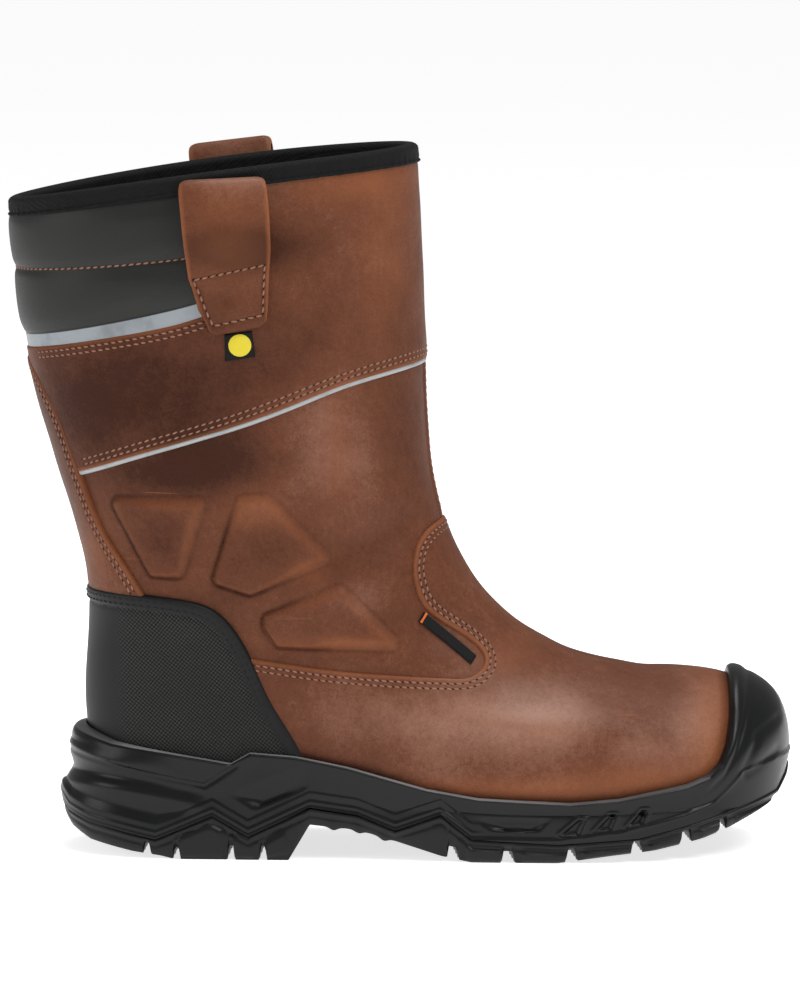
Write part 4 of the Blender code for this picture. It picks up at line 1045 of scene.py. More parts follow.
class Finishes:
    """The materials of the boot, each made once."""

    def __init__(self) -> None:
        """Builds every finish."""
        self.leather = Leather().make()
        self.rubber = Rubber().make()
        self.outsole = Rubber("outsole_rubber", (0.0042, 0.0043, 0.0044), (0.009, 0.0092, 0.0094), 0.4).make()
        self.counter = CounterWeave().make()
        self.padding = Padding().make()
        self.tape = Tape().make()
        self.piping = Tape("piping_tape", (0.36, 0.372, 0.375), (0.26, 0.27, 0.275), 0.1).make()
        self.webbing = Textile("binding_webbing", (0.003, 0.003, 0.0031), (0.0105,) * 3, 1.1).make()
        self.lining = Textile("lining_knit", (0.0045, 0.0045, 0.0047), (0.0125, 0.0125, 0.013), 1.6).make()
        self.label = Textile("label_weave", (0.006, 0.006, 0.0062), (0.013, 0.013, 0.0132), 0.5).make()
        self.mark = Textile(
            "plain_yellow_patch", (0.62, 0.5, 0.03), (0.74, 0.62, 0.06), 0.5, 0.4, 0.15).make()
        self.stripe = Textile("label_stripe", (0.55, 0.1, 0.02), (0.7, 0.16, 0.035), 0.5, 0.5, 0.2).make()
        self.felt = Textile("footbed_felt", (0.03, 0.03, 0.032), (0.06, 0.06, 0.063), 1.4, 0.3, 0.6).make()
        self.thread = Thread("brown_thread", (0.170, 0.074, 0.047), (0.390, 0.208, 0.145)).make()
        self.black_thread = Thread("black_thread", (0.008, 0.008, 0.008), (0.028, 0.028, 0.028)).make()
        # Dark capsules at the needle holes paint the shade in the holes and in the thread's twist.
        self.hole = Thread("needle_hole_shade", (0.024, 0.009, 0.006), (0.055, 0.021, 0.013)).make()
        self.paper = Studio().make()


def clouds(table: Array, points: Array) -> Array:
    """Sum of bells at listed side-view places, each with its two radii and amount."""
    x, z = points[:, 0], points[:, 2]
    found = np.zeros(len(points))
    for place_x, place_z, wide, tall, amount in table:
        found += amount * np.exp(-((x - place_x) / wide) ** 2 - ((z - place_z) / tall) ** 2)
    return found


@dataclass
class Bench:
    """Makes finished pieces from shapes and sets them on the boot, with the leather darker along the sole's
    rim.
    """

    finishes: Finishes
    rim_band_width: float = 2.0
    rim_band_darkening: float = 1.1

    def piece(self, name: str, shape: Shape, finish: bpy.types.Material, slot: str,
              stands_for: Sequence[str] = (), sharp: float = 50.0) -> bpy.types.Object:
        """Makes one piece.

        Args:
            name: Name of the piece.
            shape: Its closed shape in millimetres.
            finish: Its material.
            slot: Name of the finish's slot; not used.
            stands_for: Nodes that it replaces.
            sharp: Angle in degrees from which an edge is drawn sharp.

        Returns:
            The object.
        """
        mesh = bpy.data.meshes.new(name)
        mesh.from_pydata((shape.points * MM).tolist(), [], shape.corners())
        mesh.materials.append(finish)
        # The leather is drawn darker in a narrow band along the sole's rim.
        dark_band = bell(path_distance(RIM, shape.points[:, 0], shape.points[:, 2]), self.rim_band_width)
        numbers = {"edge": np.full(len(shape.points), shape.edge),
                   "tone": clouds(TONES_AND_SHADING, shape.points) + shape.tone - self.rim_band_darkening * dark_band,
                   "warm": clouds(WARMTHS, shape.points) + shape.warm}
        for key, values in numbers.items():
            mesh.attributes.new(key, "FLOAT", "POINT").data.foreach_set("value", values.astype(np.float32))
        mesh.shade_smooth()
        mesh.set_sharp_from_angle(angle=np.radians(sharp))
        made = bpy.data.objects.new(name, mesh)
        bpy.context.scene.collection.objects.link(made)
        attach(made, BODY)
        if stands_for:
            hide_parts(*stands_for)
        triangles = sum(len(polygon.vertices) - 2 for polygon in mesh.polygons)
        LOG.info("%s: %d triangles", name, triangles)
        return made


@dataclass
class Stitching:
    """Rows of stitches: bowed capsules, with a dark capsule at each end that paints the shade of a needle
    hole.
    """

    bench: Bench
    pitch: float = 3.1
    slant: float = 0.16
    stitch_size: tuple[float, float, float] = (2.7, 0.9, 0.8)
    stitch_bow: float = 0.3
    hole_size: tuple[float, float, float] = (1.2, 0.8, 0.35)
    rows: list[Shape] = field(default_factory=list)
    black_rows: list[Shape] = field(default_factory=list)
    hole_shades: list[Shape] = field(default_factory=list)

    @staticmethod
    def capsules(place: Array, along: Array, normal: Array, size: tuple[float, float, float],
                 bow: float) -> Shape:
        """Joined capsules: rings of a stretched ball, sunk at their ends by the square of the way along.

        Args:
            place: Middles of the capsules.
            along: Directions along them.
            normal: Outward normals.
            size: Length, width and height.
            bow: How far the ends sink.

        Returns:
            The joined shape.
        """
        lengthwise = np.radians([-90.0, -55.0, 0.0, 55.0, 90.0])
        round_it = np.arange(6) * np.pi / 3
        ring_x = np.sin(lengthwise)[:, None] + 0 * round_it[None]
        ring_y = np.cos(lengthwise)[:, None] * np.cos(round_it)[None]
        ring_z = np.cos(lengthwise)[:, None] * np.sin(round_it)[None]
        across = np.cross(normal, along)
        local = (along[:, None, None] * (ring_x * size[0] / 2)[None, ..., None]
                 + across[:, None, None] * (ring_y * size[1] / 2)[None, ..., None]
                 + normal[:, None, None] * (ring_z * size[2] / 2 - bow * ring_x ** 2)[None, ..., None])
        one = numbered(ring_x)
        starts = one.size * np.arange(len(place))[:, None, None]
        for tip in (0, -1):
            one[tip] = one[tip, 0]
        faces = (net(one, closed=True)[None] + starts).reshape(-1, 4)
        return compact(Shape((place[:, None, None] + local).reshape(-1, 3), [faces]))

    def row(self, edge: Edge, inside: float, height: float, black: bool = False) -> None:
        """Sews one row along a laid edge.

        Args:
            edge: The edge.
            inside: Distance to the left of the edge's direction, seen from outside.
            height: Height over the upper's face.
            black: Whether the thread is black.
        """
        left = np.cross(edge.normal, edge.along)
        beside = edge.place + left * inside
        bend = LAST.relief(beside[:, 0], beside[:, 2]) - LAST.relief(edge.place[:, 0], edge.place[:, 2])
        line = evenly(np.hstack([beside + edge.normal * bend[:, None], edge.normal]), 4 * len(edge.place))
        count = max(int(runs(line[:, :3]).sum() / self.pitch), 2)
        spots = evenly(line, 2 * count + 1)
        along = unit(np.gradient(spots[:, :3], axis=0))
        side = np.where(left[len(left) // 2] @ [0, 0, 1] > 0, 1.0, -1.0)
        normal = unit(spots[:, 3:])
        tilted = unit(along + side * self.slant * np.cross(normal, along))
        place = spots[:, :3] + normal * height
        (self.black_rows if black else self.rows).append(self.capsules(
            place[1::2], tilted[1::2], normal[1::2], self.stitch_size, self.stitch_bow))
        if not black:
            # A dark capsule at each end paints the shade of the needle hole.
            self.hole_shades.append(self.capsules(place[::2], tilted[::2], normal[::2], self.hole_size, 0.0))

    def build(self) -> None:
        """Joins the rows into pieces."""
        kinds = (("stitches", self.rows, self.bench.finishes.thread),
                 ("counter_stitches", self.black_rows, self.bench.finishes.black_thread),
                 ("needle_hole_shade", self.hole_shades, self.bench.finishes.hole))
        for name, shapes, finish in kinds:
            slot = "black_counter" if name == "counter_stitches" else "brown_leather"
            self.bench.piece(name, joined(shapes), finish, slot)


@dataclass
class Quarters:
    """Quarters and shaft as one wall with raised pads and a lapped front seam, and the lining inside."""

    bench: Bench
    stitching: Stitching
    wall: float = 2.0
    lining_pad: float = 1.8
    pad_raise: float = 2.3
    pad_round: float = 3.0
    soft_towards: tuple[float, float] = (0.78, 0.62)
    foot_groove: float = 0.4
    foot_shadow: float = 1.0
    shoulder_warmth: float = 0.32
    steep: float = 1.5
    soft: float = 4.6
    strip_half: float = 5.0
    strip_raise: float = 0.7
    strip_seam: float = 3.4

    def pads(self, x: Array, z: Array) -> tuple[Array, Array, Array]:
        """Raised pads, steep at the lower left and soft at the upper right.

        Args:
            x: Places along the boot.
            z: Heights.

        Returns:
            Height, tone and warmth: the height steps up over a shoulder whose width follows the way to the
            pad's middle, the tone paints a shadow at the foot of a steep shoulder, darker away from the
            light, and the warmth lies on every shoulder, more on the lit side, where it is partly a painted
            highlight.
        """
        height, tone, warm = np.zeros_like(x), np.zeros_like(x), np.zeros_like(x)
        for outline in RAISED_PADS:
            inside = rounded_distance(outline, self.pad_round, x, z)
            middle = np.mean(np.array(outline), axis=0)
            away = np.stack([x - middle[0], z - middle[1]], -1)
            lit = smoothstep(-0.75, 0.75, unit(away) @ np.array(self.soft_towards))
            shoulder = self.steep + (self.soft - self.steep) * lit
            share = np.clip((inside + 0.3) / shoulder, 0.0, 1.0)
            height += self.pad_raise * share * share * (3 - 2 * share)
            foot = bell(inside + 0.5, 0.75)
            height -= self.foot_groove * foot * (1 - 0.6 * lit)
            # Painted shadow at the foot of the shoulder, strongest on the side away from the light.
            tone -= self.foot_shadow * foot * (1 - 0.75 * lit)
            crown = bell(inside - 0.62 * shoulder, 0.5 * shoulder)
            # Orange on the shoulder: stretched leather, and on the lit side partly a painted highlight.
            warm += self.shoulder_warmth * crown * (0.5 + 0.5 * lit)
        return height, tone, warm

    def rise(self, x: Array, y: Array, z: Array) -> Array:
        """Height over the face: the pads and the front strip."""
        across = np.abs(y - LAST.swing(x))
        strip = smoothstep(self.strip_half + 0.8, self.strip_half - 0.4, across)
        front = smoothstep(-12.0, -6.0, x) * smoothstep(139.0, 142.0, z) * smoothstep(211.0, 208.0, z)
        return self.pads(x, z)[0] + self.strip_raise * strip * front

    def build(self) -> None:
        """Makes wall and lining: outer net at the rise, inner net at the wall's depth, joined at the ends."""
        levels = np.concatenate([np.linspace(0, 0.2, 10)[:-1], np.linspace(0.2, 0.64, 166)[:-1],
                                 np.linspace(0.64, 1, 14)])
        turn, v = np.meshgrid(np.arange(420) * np.pi / 210, levels)
        place, normal = LAST.face(turn, v)
        base = LAST.point(turn, v)
        outside = place + normal * self.rise(base[..., 0], base[..., 1], base[..., 2])[..., None]
        inner_place, inner_normal, _ = LAST.frame_at(*np.meshgrid(turn[0], np.linspace(1, 0, 22)))
        below = LAST.collar_height(inner_place[..., 0]) - inner_place[..., 2]
        depth = self.wall + self.lining_pad * smoothstep(4.0, 30.0, below)
        inside = inner_place - inner_normal * depth[..., None]
        rows = np.concatenate([outside, inside])
        index = numbered(rows)
        faces = [net(index, closed=True), net(index[[-1, 0]], closed=True)]
        points = rows.reshape(-1, 3)
        _, tone, warm = self.pads(points[:, 0], points[:, 2])
        shape = Shape(points, faces, FAR, tone, warm)
        made = self.bench.piece("quarters", shape, self.bench.finishes.leather, "brown_leather", ["upper"])
        made.data.materials.append(self.bench.finishes.lining)
        kinds = np.zeros(len(made.data.polygons), np.int32)
        kinds[(len(v) - 1) * turn.shape[1]:] = 1
        made.data.polygons.foreach_set("material_index", kinds)
        z = np.linspace(144.0, 207.0, 120)
        x = np.interp(z, LAST.front[:, 1], LAST.front[:, 0])
        for side in Side:
            self.stitching.row(self.strip_edge(x, z, side), 0.0, self.strip_raise + 0.1)

    def strip_edge(self, x: Array, z: Array, side: Side) -> Edge:
        """Line beside the front seam: the front profile moved round by a fixed width."""
        turns = np.pi + side.value * np.linspace(0.0, 0.6, 60)
        _, v = LAST.locate(x, z)
        grid = LAST.point(*np.meshgrid(turns, v))
        reach = np.abs(grid[..., 1] - LAST.swing(grid[..., 0]))
        found = np.array([np.interp(self.strip_seam, row, turns) for row in reach])
        place, normal = LAST.face(found, v)
        return Edge(place, normal, unit(np.gradient(place, axis=0)))


@dataclass
class Panel:
    """A piece of leather or tape cut to an outline over the quarters, the same on both sides."""

    name: str
    node: str
    slot: str
    outline: Array
    thick: float
    roll: float
    reach: tuple[float, float]
    relief: Callable[[Array], Array] | None = None
    low: float = 0.02

    def shape(self, skin: Skin) -> Shape:
        """Cuts the panel from the skin.

        Args:
            skin: Net over the upper.

        Returns:
            The closed shape, at full height from the rounding inwards and with its own relief on top.
        """
        closed = np.vstack([self.outline, self.outline[:1]])
        edges = [edge for side in Side for edge in skin.lay(closed, side)]
        near = (skin.z > self.reach[0]) & (skin.z < self.reach[1])
        away = skin.distance(edges, near)
        inside = outline_inside(self.outline, skin.x, skin.z) & near
        signed = np.where(inside, away, -away)
        rise = np.full(signed.shape, self.thick)
        if self.relief:
            rise = rise + self.relief(np.maximum(signed, 0))
        return skin.cut(signed - self.roll, rise, signed, self.low, self.roll)


@dataclass
class Panels:
    """Vamp, heel counter, back stay and shaft panel, with the reflective piping and band.

    Outlines run on past the boot's ends and its feather edge and close there, where nothing is cut.
    """

    bench: Bench
    skin: Skin
    stitching: Stitching
    beyond: float = 190.0
    below: float = 5.0
    seam_rows: tuple[float, float] = (2.4, 4.6)
    piping_rows: tuple[float, float] = (2.7, 4.9)
    trough: float = 0.16
    stay_foot: float = 108.4

    def seam(self, distances: Sequence[float]) -> Callable[[Array], Array]:
        """Relief of stitched rows: a narrow trough at each distance from the edge, and a thinner edge."""
        def relief(edge: Array) -> Array:
            """Height change at a distance from the edge."""
            found = -0.25 * bell(edge, 1.6)
            for distance in distances:
                found = found - self.trough * bell(edge - distance, 0.9)
            return found
        return relief

    @staticmethod
    def rolled(edge: Array) -> Array:
        """Relief of the counter: a rolled band along its edge with a groove behind it."""
        band = 0.9 * smoothstep(6.4, 5.4, edge) * (0.75 + 0.25 * bell(edge - 2.8, 2.0))
        return band - 0.3 * bell(edge - 6.6, 0.9)

    def cut(self, panel: Panel, finish: bpy.types.Material) -> None:
        """Makes one panel as a piece."""
        self.bench.piece(panel.name, panel.shape(self.skin), finish, panel.slot, [panel.node])

    def sew(self, line: Array, distances: Sequence[float], height: float, keep: Callable[[Array], Array],
            black: bool = False) -> None:
        """Sews rows beside a side-view line on both sides.

        Args:
            line: Side-view line; the rows lie to its left, seen with z up and x to the right.
            distances: Distances of the rows from the line.
            height: Height of the thread over the upper's face.
            keep: Which of the laid places are sewn.
            black: Whether the thread is black.
        """
        fewest = 8
        for side in Side:
            for edge in self.skin.lay(line, side):
                on = keep(edge.place)
                if on.sum() < fewest:
                    continue
                part = Edge(edge.place[on], edge.normal[on], edge.along[on])
                for distance in distances:
                    self.stitching.row(part, -side.value * distance, height, black)

    def cord(self, line: Array, half: float = 1.15, sunk: float = 0.5, tall: float = 0.9) -> Shape:
        """Half-round strip along a side-view line, from the rear of one side round the front to the other's.

        Args:
            line: Side-view points from rear to front.
            half: Half the strip's width.
            sunk: How far its middle lies below the line.
            tall: Height of its crown over its edges.

        Returns:
            The closed shape: a half ellipse carried along the line on the face.
        """
        longest = [max(self.skin.lay(line, side), key=lambda edge: len(edge.place)) for side in Side]
        spots = [np.hstack([edge.place, edge.normal]) for edge in longest]
        path = evenly(np.concatenate([spots[0], spots[1][::-1]]), 800)
        normal = unit(path[:, 3:])
        up = np.cross(normal, unit(np.gradient(path[:, :3], axis=0)))
        across = np.linspace(-1, 1, 7)[:, None] + 0 * path[None, :, 0]
        place = path[None, :, :3] + up[None] * (across * half - sunk)[..., None]
        high = 0.3 + tall * np.sqrt(1 - across ** 2)
        return plate(place, np.broadcast_to(normal, place.shape), PLATE_LOW, high, FAR)

    def build(self) -> None:
        """Cuts and sews every panel."""
        f = self.bench.finishes
        counter = smooth_line(COUNTER_EDGE)
        vamp = smooth_line(VAMP_EDGE, 600)
        stay = smooth_line(STAY_EDGE)
        piping = smooth_line(PIPING_EDGE)
        band = smooth_line(BAND_LOW)
        pad_low = smooth_line(PAD_LOW)
        toe = [(self.beyond, 147.0), (self.beyond, self.below), (-72.0, self.below)]
        self.cut(Panel("vamp_leather", "vamp", "brown_leather", np.vstack([vamp, toe]),
                       1.7, 0.9, (0.0, 160.0), self.seam(self.seam_rows)), f.leather)
        heel = [(-30.0, self.below), (-self.beyond, self.below), (-self.beyond, 112.0)]
        self.cut(Panel("counter_cover", "heel_counter", "black_counter", np.vstack([counter, heel]),
                       2.0, 1.0, (0.0, 125.0), self.rolled), f.counter)
        behind = [(-self.beyond, self.stay_foot), (-self.beyond, 213.5), (-158.0, 214.6)]
        self.cut(Panel("back_stay_leather", "back_stay", "brown_leather",
                       np.vstack([stay[stay[:, 1] > self.stay_foot], behind]),
                       2.3, 0.9, (100.0, 232.0), self.seam(self.seam_rows)), f.leather)
        rear = stay + np.array([-5.0, 0.0])
        rear = rear[(rear[:, 1] < 214.0) & (rear[:, 1] > 156.0)]
        top_x = np.array([32.0, 5.0, -83.5])
        top = np.stack([top_x, LAST.collar_height(top_x) - 1.8], 1)
        above = band[(band[:, 0] > -163.0) & (band[:, 0] < -75.0)]
        low = piping[piping[:, 0] > -146.0]
        self.cut(Panel("shaft_leather", "shaft_panel", "brown_leather",
                       np.vstack([low, top, [(-75.0, 250.0)], above[::-1], rear]),
                       1.7, 0.9, (150.0, 300.0), self.seam((2.6, 4.8))), f.leather)
        self.bench.piece("piping", self.cord(piping[piping[:, 0] > -140.0]), f.piping, "reflective_tape",
                         ["reflective_piping"])
        over = pad_low[pad_low[:, 0] < -84.0] + [0.0, 2.0]
        under = band[band[:, 0] < -80.0] + [0.0, -3.0]
        hidden_end = [(-70.0, 231.0), (-70.0, 243.0)]
        self.cut(Panel("band_tape", "reflective_band", "reflective_tape",
                       np.vstack([under, hidden_end, over[::-1]]), 0.9, 0.4, (200.0, 250.0)), f.tape)
        rows = self.seam_rows
        self.sew(vamp[::-1], rows, 1.55, lambda p: p[:, 0] > -61.0)
        self.sew(piping, self.piping_rows, 1.55, lambda p: p[:, 0] > -131.0)
        self.sew(band[::-1], rows, 1.55, lambda p: (p[:, 0] > -152.0) & (p[:, 0] < -82.0))
        self.sew(stay[::-1], rows, 2.15, lambda p: (p[:, 2] > 115.0) & (p[:, 2] < 213.0))
        self.sew(counter[::-1], rows, 2.9, lambda p: p[:, 2] > 36.0, black=True)


@dataclass
class CollarPad:
    """Padded collar round the back: two rolls with a sewn line, puffed as cloth under pressure."""

    bench: Bench
    stitching: Stitching
    columns: int = 121
    rows: int = 49
    seam: float = 0.5
    seam_back: float = 0.53
    seam_front: float = 0.41
    seam_height: float = 1.3
    sewn_from: float = -84.0
    base: float = 0.7
    start: float = 1.5
    cap: float = 0.9
    spread: int = 9
    frames: int = 16

    def grid(self) -> tuple[Array, Array, Array, Array]:
        """Side-view places of the pad with their side and how far up they are, on a strip round the back.

        The sewn line keeps its row, and the rows are spread so that it sinks from the back to the loops.
        """
        turn, up = np.meshgrid(np.linspace(-1, 1, self.columns), np.linspace(0, 1, self.rows))
        reach = 1 - np.cos(np.abs(turn) * np.pi / 2)
        line = self.seam_back + (self.seam_front - self.seam_back) * reach
        rise = np.where(up < self.seam, up / self.seam * line, 1 - (1 - up) / (1 - self.seam) * (1 - line))
        z = np.full_like(turn, 250.0)
        low = smooth_line(PAD_LOW)
        for _ in range(6):
            middle = np.interp(z, LAST.back[:, 1], LAST.back[:, 0])
            x = middle + (loop_sides(z)[0] + 3.0 - middle) * reach
            bottom = heights(low, x) - 0.3
            z = bottom + (LAST.collar_height(x) - BINDING_TALL + 3.2 - bottom) * rise
        return x, z, np.where(turn <= 0, 1.0, -1.0), up

    def puff(self, up: Array) -> Array:
        """Height of the two rolls: a half ellipse from edge to sewn line and another to the other edge."""
        roll = np.where(up < self.seam, up / self.seam, (up - self.seam) / (1 - self.seam))
        return np.sqrt(np.clip(1 - (2 * roll - 1) ** 2, 0, 1)) ** 0.85

    def swell(self, place: Array, normal: Array, up: Array) -> Array:
        """Runs the cloth simulation: pressure from inside, sewn lines and edges held.

        Args:
            place: Grid of places of the slack cover.
            normal: Outward normals.
            up: How far up each place is.

        Returns:
            How far each place moved out along its normal, within the cap, as the mean of some columns.
        """
        grid = numbered(place)
        mesh = bpy.data.meshes.new("slack_cover")
        mesh.from_pydata((place.reshape(-1, 3) * MM).tolist(), [], net(grid).tolist())
        cover = bpy.data.objects.new("slack_cover", mesh)
        bpy.context.scene.collection.objects.link(cover)
        held = np.minimum(np.minimum(up, 1 - up), np.abs(up - self.seam)) < 0.012
        held[:, [0, -1]] = True
        group = cover.vertex_groups.new(name="held")
        group.add(grid[held].tolist(), 1.0, "REPLACE")
        cloth = cover.modifiers.new("cloth", "CLOTH")
        choices = {"vertex_group_mass": "held", "quality": 5, "mass": 0.15, "tension_stiffness": 8.0,
                   "compression_stiffness": 8.0, "bending_stiffness": 0.2, "shrink_min": -0.03,
                   "use_pressure": True, "uniform_pressure_force": 4.0}
        for key, value in choices.items():
            setattr(cloth.settings, key, value)
        cloth.settings.effector_weights.gravity = 0.0
        cloth.collision_settings.use_collision = False
        scene = bpy.context.scene
        for frame in range(1, self.frames + 1):
            scene.frame_set(frame)
        done = cover.evaluated_get(bpy.context.evaluated_depsgraph_get())
        found = np.empty(len(mesh.vertices) * 3, np.float32)
        done.data.vertices.foreach_get("co", found)
        scene.frame_set(1)
        bpy.data.objects.remove(cover)
        bpy.data.meshes.remove(mesh)
        moved = found.reshape(place.shape) / MM - place
        out = np.sum(moved * normal, axis=-1)
        LOG.info("collar pad: cloth moved up to %.2f mm", out.max())
        pad = self.spread // 2
        beside = np.pad(np.clip(out, -0.2, self.cap), ((0, 0), (pad, pad)), mode="edge")
        return np.mean([beside[:, k:k + self.columns] for k in range(self.spread)], axis=0)

    def build(self) -> None:
        """Makes the pad and its sewn line."""
        x, z, side, up = self.grid()
        place, normal = LAST.out_from(x, z, side, np.zeros_like(x))
        puff = self.puff(up)
        sewn = (self.seam_height - self.base) * bell(up - self.seam, 0.2) * (1 - puff)
        slack = self.base + self.start * puff + sewn
        moved = np.zeros_like(x)
        moved = self.swell(place + normal * slack[..., None], normal, up)
        column = np.arange(self.columns)
        ends = smoothstep(0.0, 0.12, np.minimum(column, column[::-1]) / self.columns)[None]
        high = slack + moved * puff * (0.4 + 0.6 * ends)
        made = self.bench.piece("collar_padding", plate(place, normal, PLATE_LOW, high, FAR),
                                self.bench.finishes.padding, "black_padding", ["collar_pad"], 70.0)
        row = int(round(self.seam * (self.rows - 1)))
        path = evenly(np.hstack([place[row], normal[row]]), 700)
        path = path[path[:, 0] < self.sewn_from]
        along = unit(np.gradient(path[:, :3], axis=0))
        self.stitching.row(Edge(path[:, :3], unit(path[:, 3:]), along), 0.0, self.seam_height + 0.15)


@dataclass
class Binding:
    """Tape folded over the collar's edge, thick at its hems, with a groove pressed in where it is stitched.
    """

    bench: Bench
    columns: int = 420
    tall: float = BINDING_TALL
    outside: float = 2.2
    inside: float = 4.3
    crown: float = 2.4
    bow: float = 2.0

    def build(self) -> None:
        """Carries the folded section round the collar: up the outside, over a round top, down the inside.

        Half a sine wave from back to front lifts it in the middle of both sides.
        """
        turn = np.arange(self.columns) * 2 * np.pi / self.columns
        place, normal, up = LAST.frame_at(turn, np.ones(self.columns))
        fold = np.linspace(0, np.pi, 9)[1:-1]
        half = (self.outside + self.inside) / 2
        middle = (self.outside - self.inside) / 2
        down = np.linspace(0.0, 1.0, 12)
        hem = 0.55 * bell(down - 0.93, 0.09) - 0.28 * bell(down - 0.74, 0.06)
        outer = np.stack([self.outside + hem[::-1], -self.tall * down[::-1]], 1)
        top = np.stack([middle + half * np.cos(fold), self.crown * np.sin(fold)], 1)
        inner = np.stack([-self.inside - hem, -self.tall * down], 1)
        under = np.array([(-2.2, -self.tall - 0.15), (-1.9, -self.tall * 0.5), (0.05, -self.tall * 0.5),
                          (0.05, -self.tall - 0.15)])
        section = np.concatenate([outer, top, inner, under])
        wave = 0.16 * np.sin(turn * 61.0) * np.sin(turn * 23.0) + 0.12 * np.sin(turn * 97.0 + 0.7)
        sway = wave[None] * smoothstep(0.1, -3.0, section[:, 1])[:, None]
        out = section[:, :1] + sway * np.sign(section[:, :1])
        rise = section[:, 1:] + 0.5 * sway * (section[:, 1:] < -self.tall * 0.8)
        rise = rise + self.bow * np.sin(np.pi * (1 - np.cos(turn)) / 2)[None]
        rows = place[None] + normal[None] * out[..., None] + up[None] * rise[..., None]
        index = numbered(rows)
        faces = net(np.vstack([index, index[:1]]), closed=True)
        self.bench.piece("collar_tape", Shape(rows.reshape(-1, 3), [faces]),
                         self.bench.finishes.webbing, "black_webbing", ["collar_binding"], 60.0)


@dataclass
class PullLoops:
    """Folded leather straps on both sides, each on a stitched foot.

    Pairs of heights are where a change starts and where it is full.
    """

    bench: Bench
    stitching: Stitching
    columns: int = 35
    width: float = 33.0
    middle: float = -72.0
    lifted: tuple[float, float] = (252.0, 264.0)
    foot: tuple[float, float] = (242.0, 232.0)
    foot_slope: float = 0.19
    corner: float = 4.0
    foot_corners: tuple[float, float] = (236.0, 227.0)
    top_corners: tuple[float, float] = (274.0, 287.0)
    top_share: float = 0.6
    lifts: dict[Side, float] = field(default_factory=lambda: {Side.OUTER: -0.5, Side.INNER: 9.0})
    slopes: dict[Side, float] = field(default_factory=lambda: {Side.OUTER: 0.045, Side.INNER: 0.125})
    seam: Points = ((-85.4, 246.2), (-56.9, 252.6), (-57.3, 228.6), (-77.4, 228.0), (-85.4, 246.2))
    strap: Array = field(default_factory=lambda: np.array([
        (225.3, 2.5, 249.4, 4.9), (246.0, 2.5, 250.4, 4.4), (259.0, 2.5, 259.0, 4.3),
        (272.0, 2.5, 272.0, 4.3), (282.0, 2.7, 281.5, 4.5), (287.6, 4.6, 285.6, 5.7),
        (289.0, 7.6, 287.0, 7.8), (287.0, 11.4, 285.2, 10.2), (279.0, 13.5, 278.4, 11.7),
        (268.0, 13.3, 268.0, 11.5), (257.0, 10.6, 257.6, 8.8), (247.0, 6.4, 252.0, 6.0),
        (238.0, 4.6, 250.2, 5.3), (225.3, 4.4, 249.2, 5.1)]))

    def build(self) -> None:
        """Makes both loops and sews their feet."""
        for side in Side:
            name = "loop_outer" if side is Side.OUTER else "loop_inner"
            self.bench.piece(name, self.shape(side), self.bench.finishes.leather, "brown_leather",
                             [f"pull_{name}"], 60.0)
            self.sew(side)

    def rows(self) -> tuple[Array, Array]:
        """Smooth closed outlines of the strap and of its eye, as height and distance out."""
        reach = np.linspace(0, 1, len(self.strap) + 1)
        dense = spline(reach, np.vstack([self.strap, self.strap[:1]]), np.linspace(0, 1, 141)[:-1])
        return dense[:, :2], dense[:, 2:]

    def settled(self, side: Side, x: Array, z: Array) -> Array:
        """Heights on the boot: the strap's own, lifted and sloped as the collar is, and sloped at the foot.

        Quarter rounds towards both sides cut the corners of the foot and, less, those of the top.
        """
        free = smoothstep(*self.lifted, z)
        foot = smoothstep(*self.foot, z)
        left, right = loop_sides(z)
        short = 1 - np.clip(np.minimum(x - left, right - x) / self.corner, 0, 1)
        rounding = self.corner * (1 - np.sqrt(1 - short ** 2))
        at_top = self.top_share * smoothstep(*self.top_corners, z)
        rounding = rounding * (smoothstep(*self.foot_corners, z) - at_top)
        return z + free * (self.lifts[side] + self.slopes[side] * (x - self.middle)) \
            + foot * self.foot_slope * (x - self.middle) + rounding

    def shape(self, side: Side) -> Shape:
        """Closed strap: outline and eye carried across its width, pinched together towards both cut edges."""
        outer, eye = self.rows()
        share = np.concatenate([[0.0, 0.008, 0.022, 0.045], np.linspace(0.08, 0.92, self.columns - 8),
                                [0.955, 0.978, 0.992, 1.0]])
        edge = np.minimum(share, 1 - share) * self.width
        full = np.sqrt(1 - (1 - np.clip(edge / 0.9, 0, 1)) ** 2) * 0.72 + 0.28
        middle = (outer + eye) / 2
        blocks = []
        sag = 0.35 * np.sin(share * 5.0 + 0.6)[None, :]
        for line in (outer, eye):
            pair = middle[:, None] + (line - middle)[:, None] * full[None, :, None]
            z = pair[..., 0]
            left, right = loop_sides(z)
            x = left + (right - left) * share[None]
            free = smoothstep(252.0, 262.0, z)
            out = pair[..., 1] + sag * free + self.pressed(x, z) * (pair[..., 1] > 4.0)
            place, _ = LAST.out_from(x, self.settled(side, x, z), np.full(x.shape, side.value), out)
            blocks.append(place)
        index = numbered(blocks[0])
        hole = index + index.size
        outside = net(np.vstack([index, index[:1]]))
        inside = net(np.vstack([hole, hole[:1]]))[:, ::-1]
        ends = [np.stack([index[:, 0], np.roll(index[:, 0], -1), np.roll(hole[:, 0], -1), hole[:, 0]], 1),
                np.stack([np.roll(index[:, -1], -1), index[:, -1], hole[:, -1], np.roll(hole[:, -1], -1)], 1)]
        faces = [outside[:, ::-1], inside[:, ::-1], *[end[:, ::-1] for end in ends]]
        if side is Side.INNER:
            faces = [block[:, ::-1] for block in faces]
        points = np.concatenate([block.reshape(-1, 3) for block in blocks])
        near = np.broadcast_to(edge[None], index.shape).ravel()
        return Shape(points, faces, np.concatenate([near, near]))

    def pressed(self, x: Array, z: Array) -> Array:
        """Relief of the foot: its seam pulled in, the leather between pressed flat with a slight pillow."""
        seam = path_distance(self.seam, x, z)
        inside = outline_distance(self.seam[:-1], x, z)
        return 0.35 * smoothstep(1.5, 5.0, inside) * smoothstep(9.0, 6.0, inside) - 0.5 * bell(seam, 1.1)

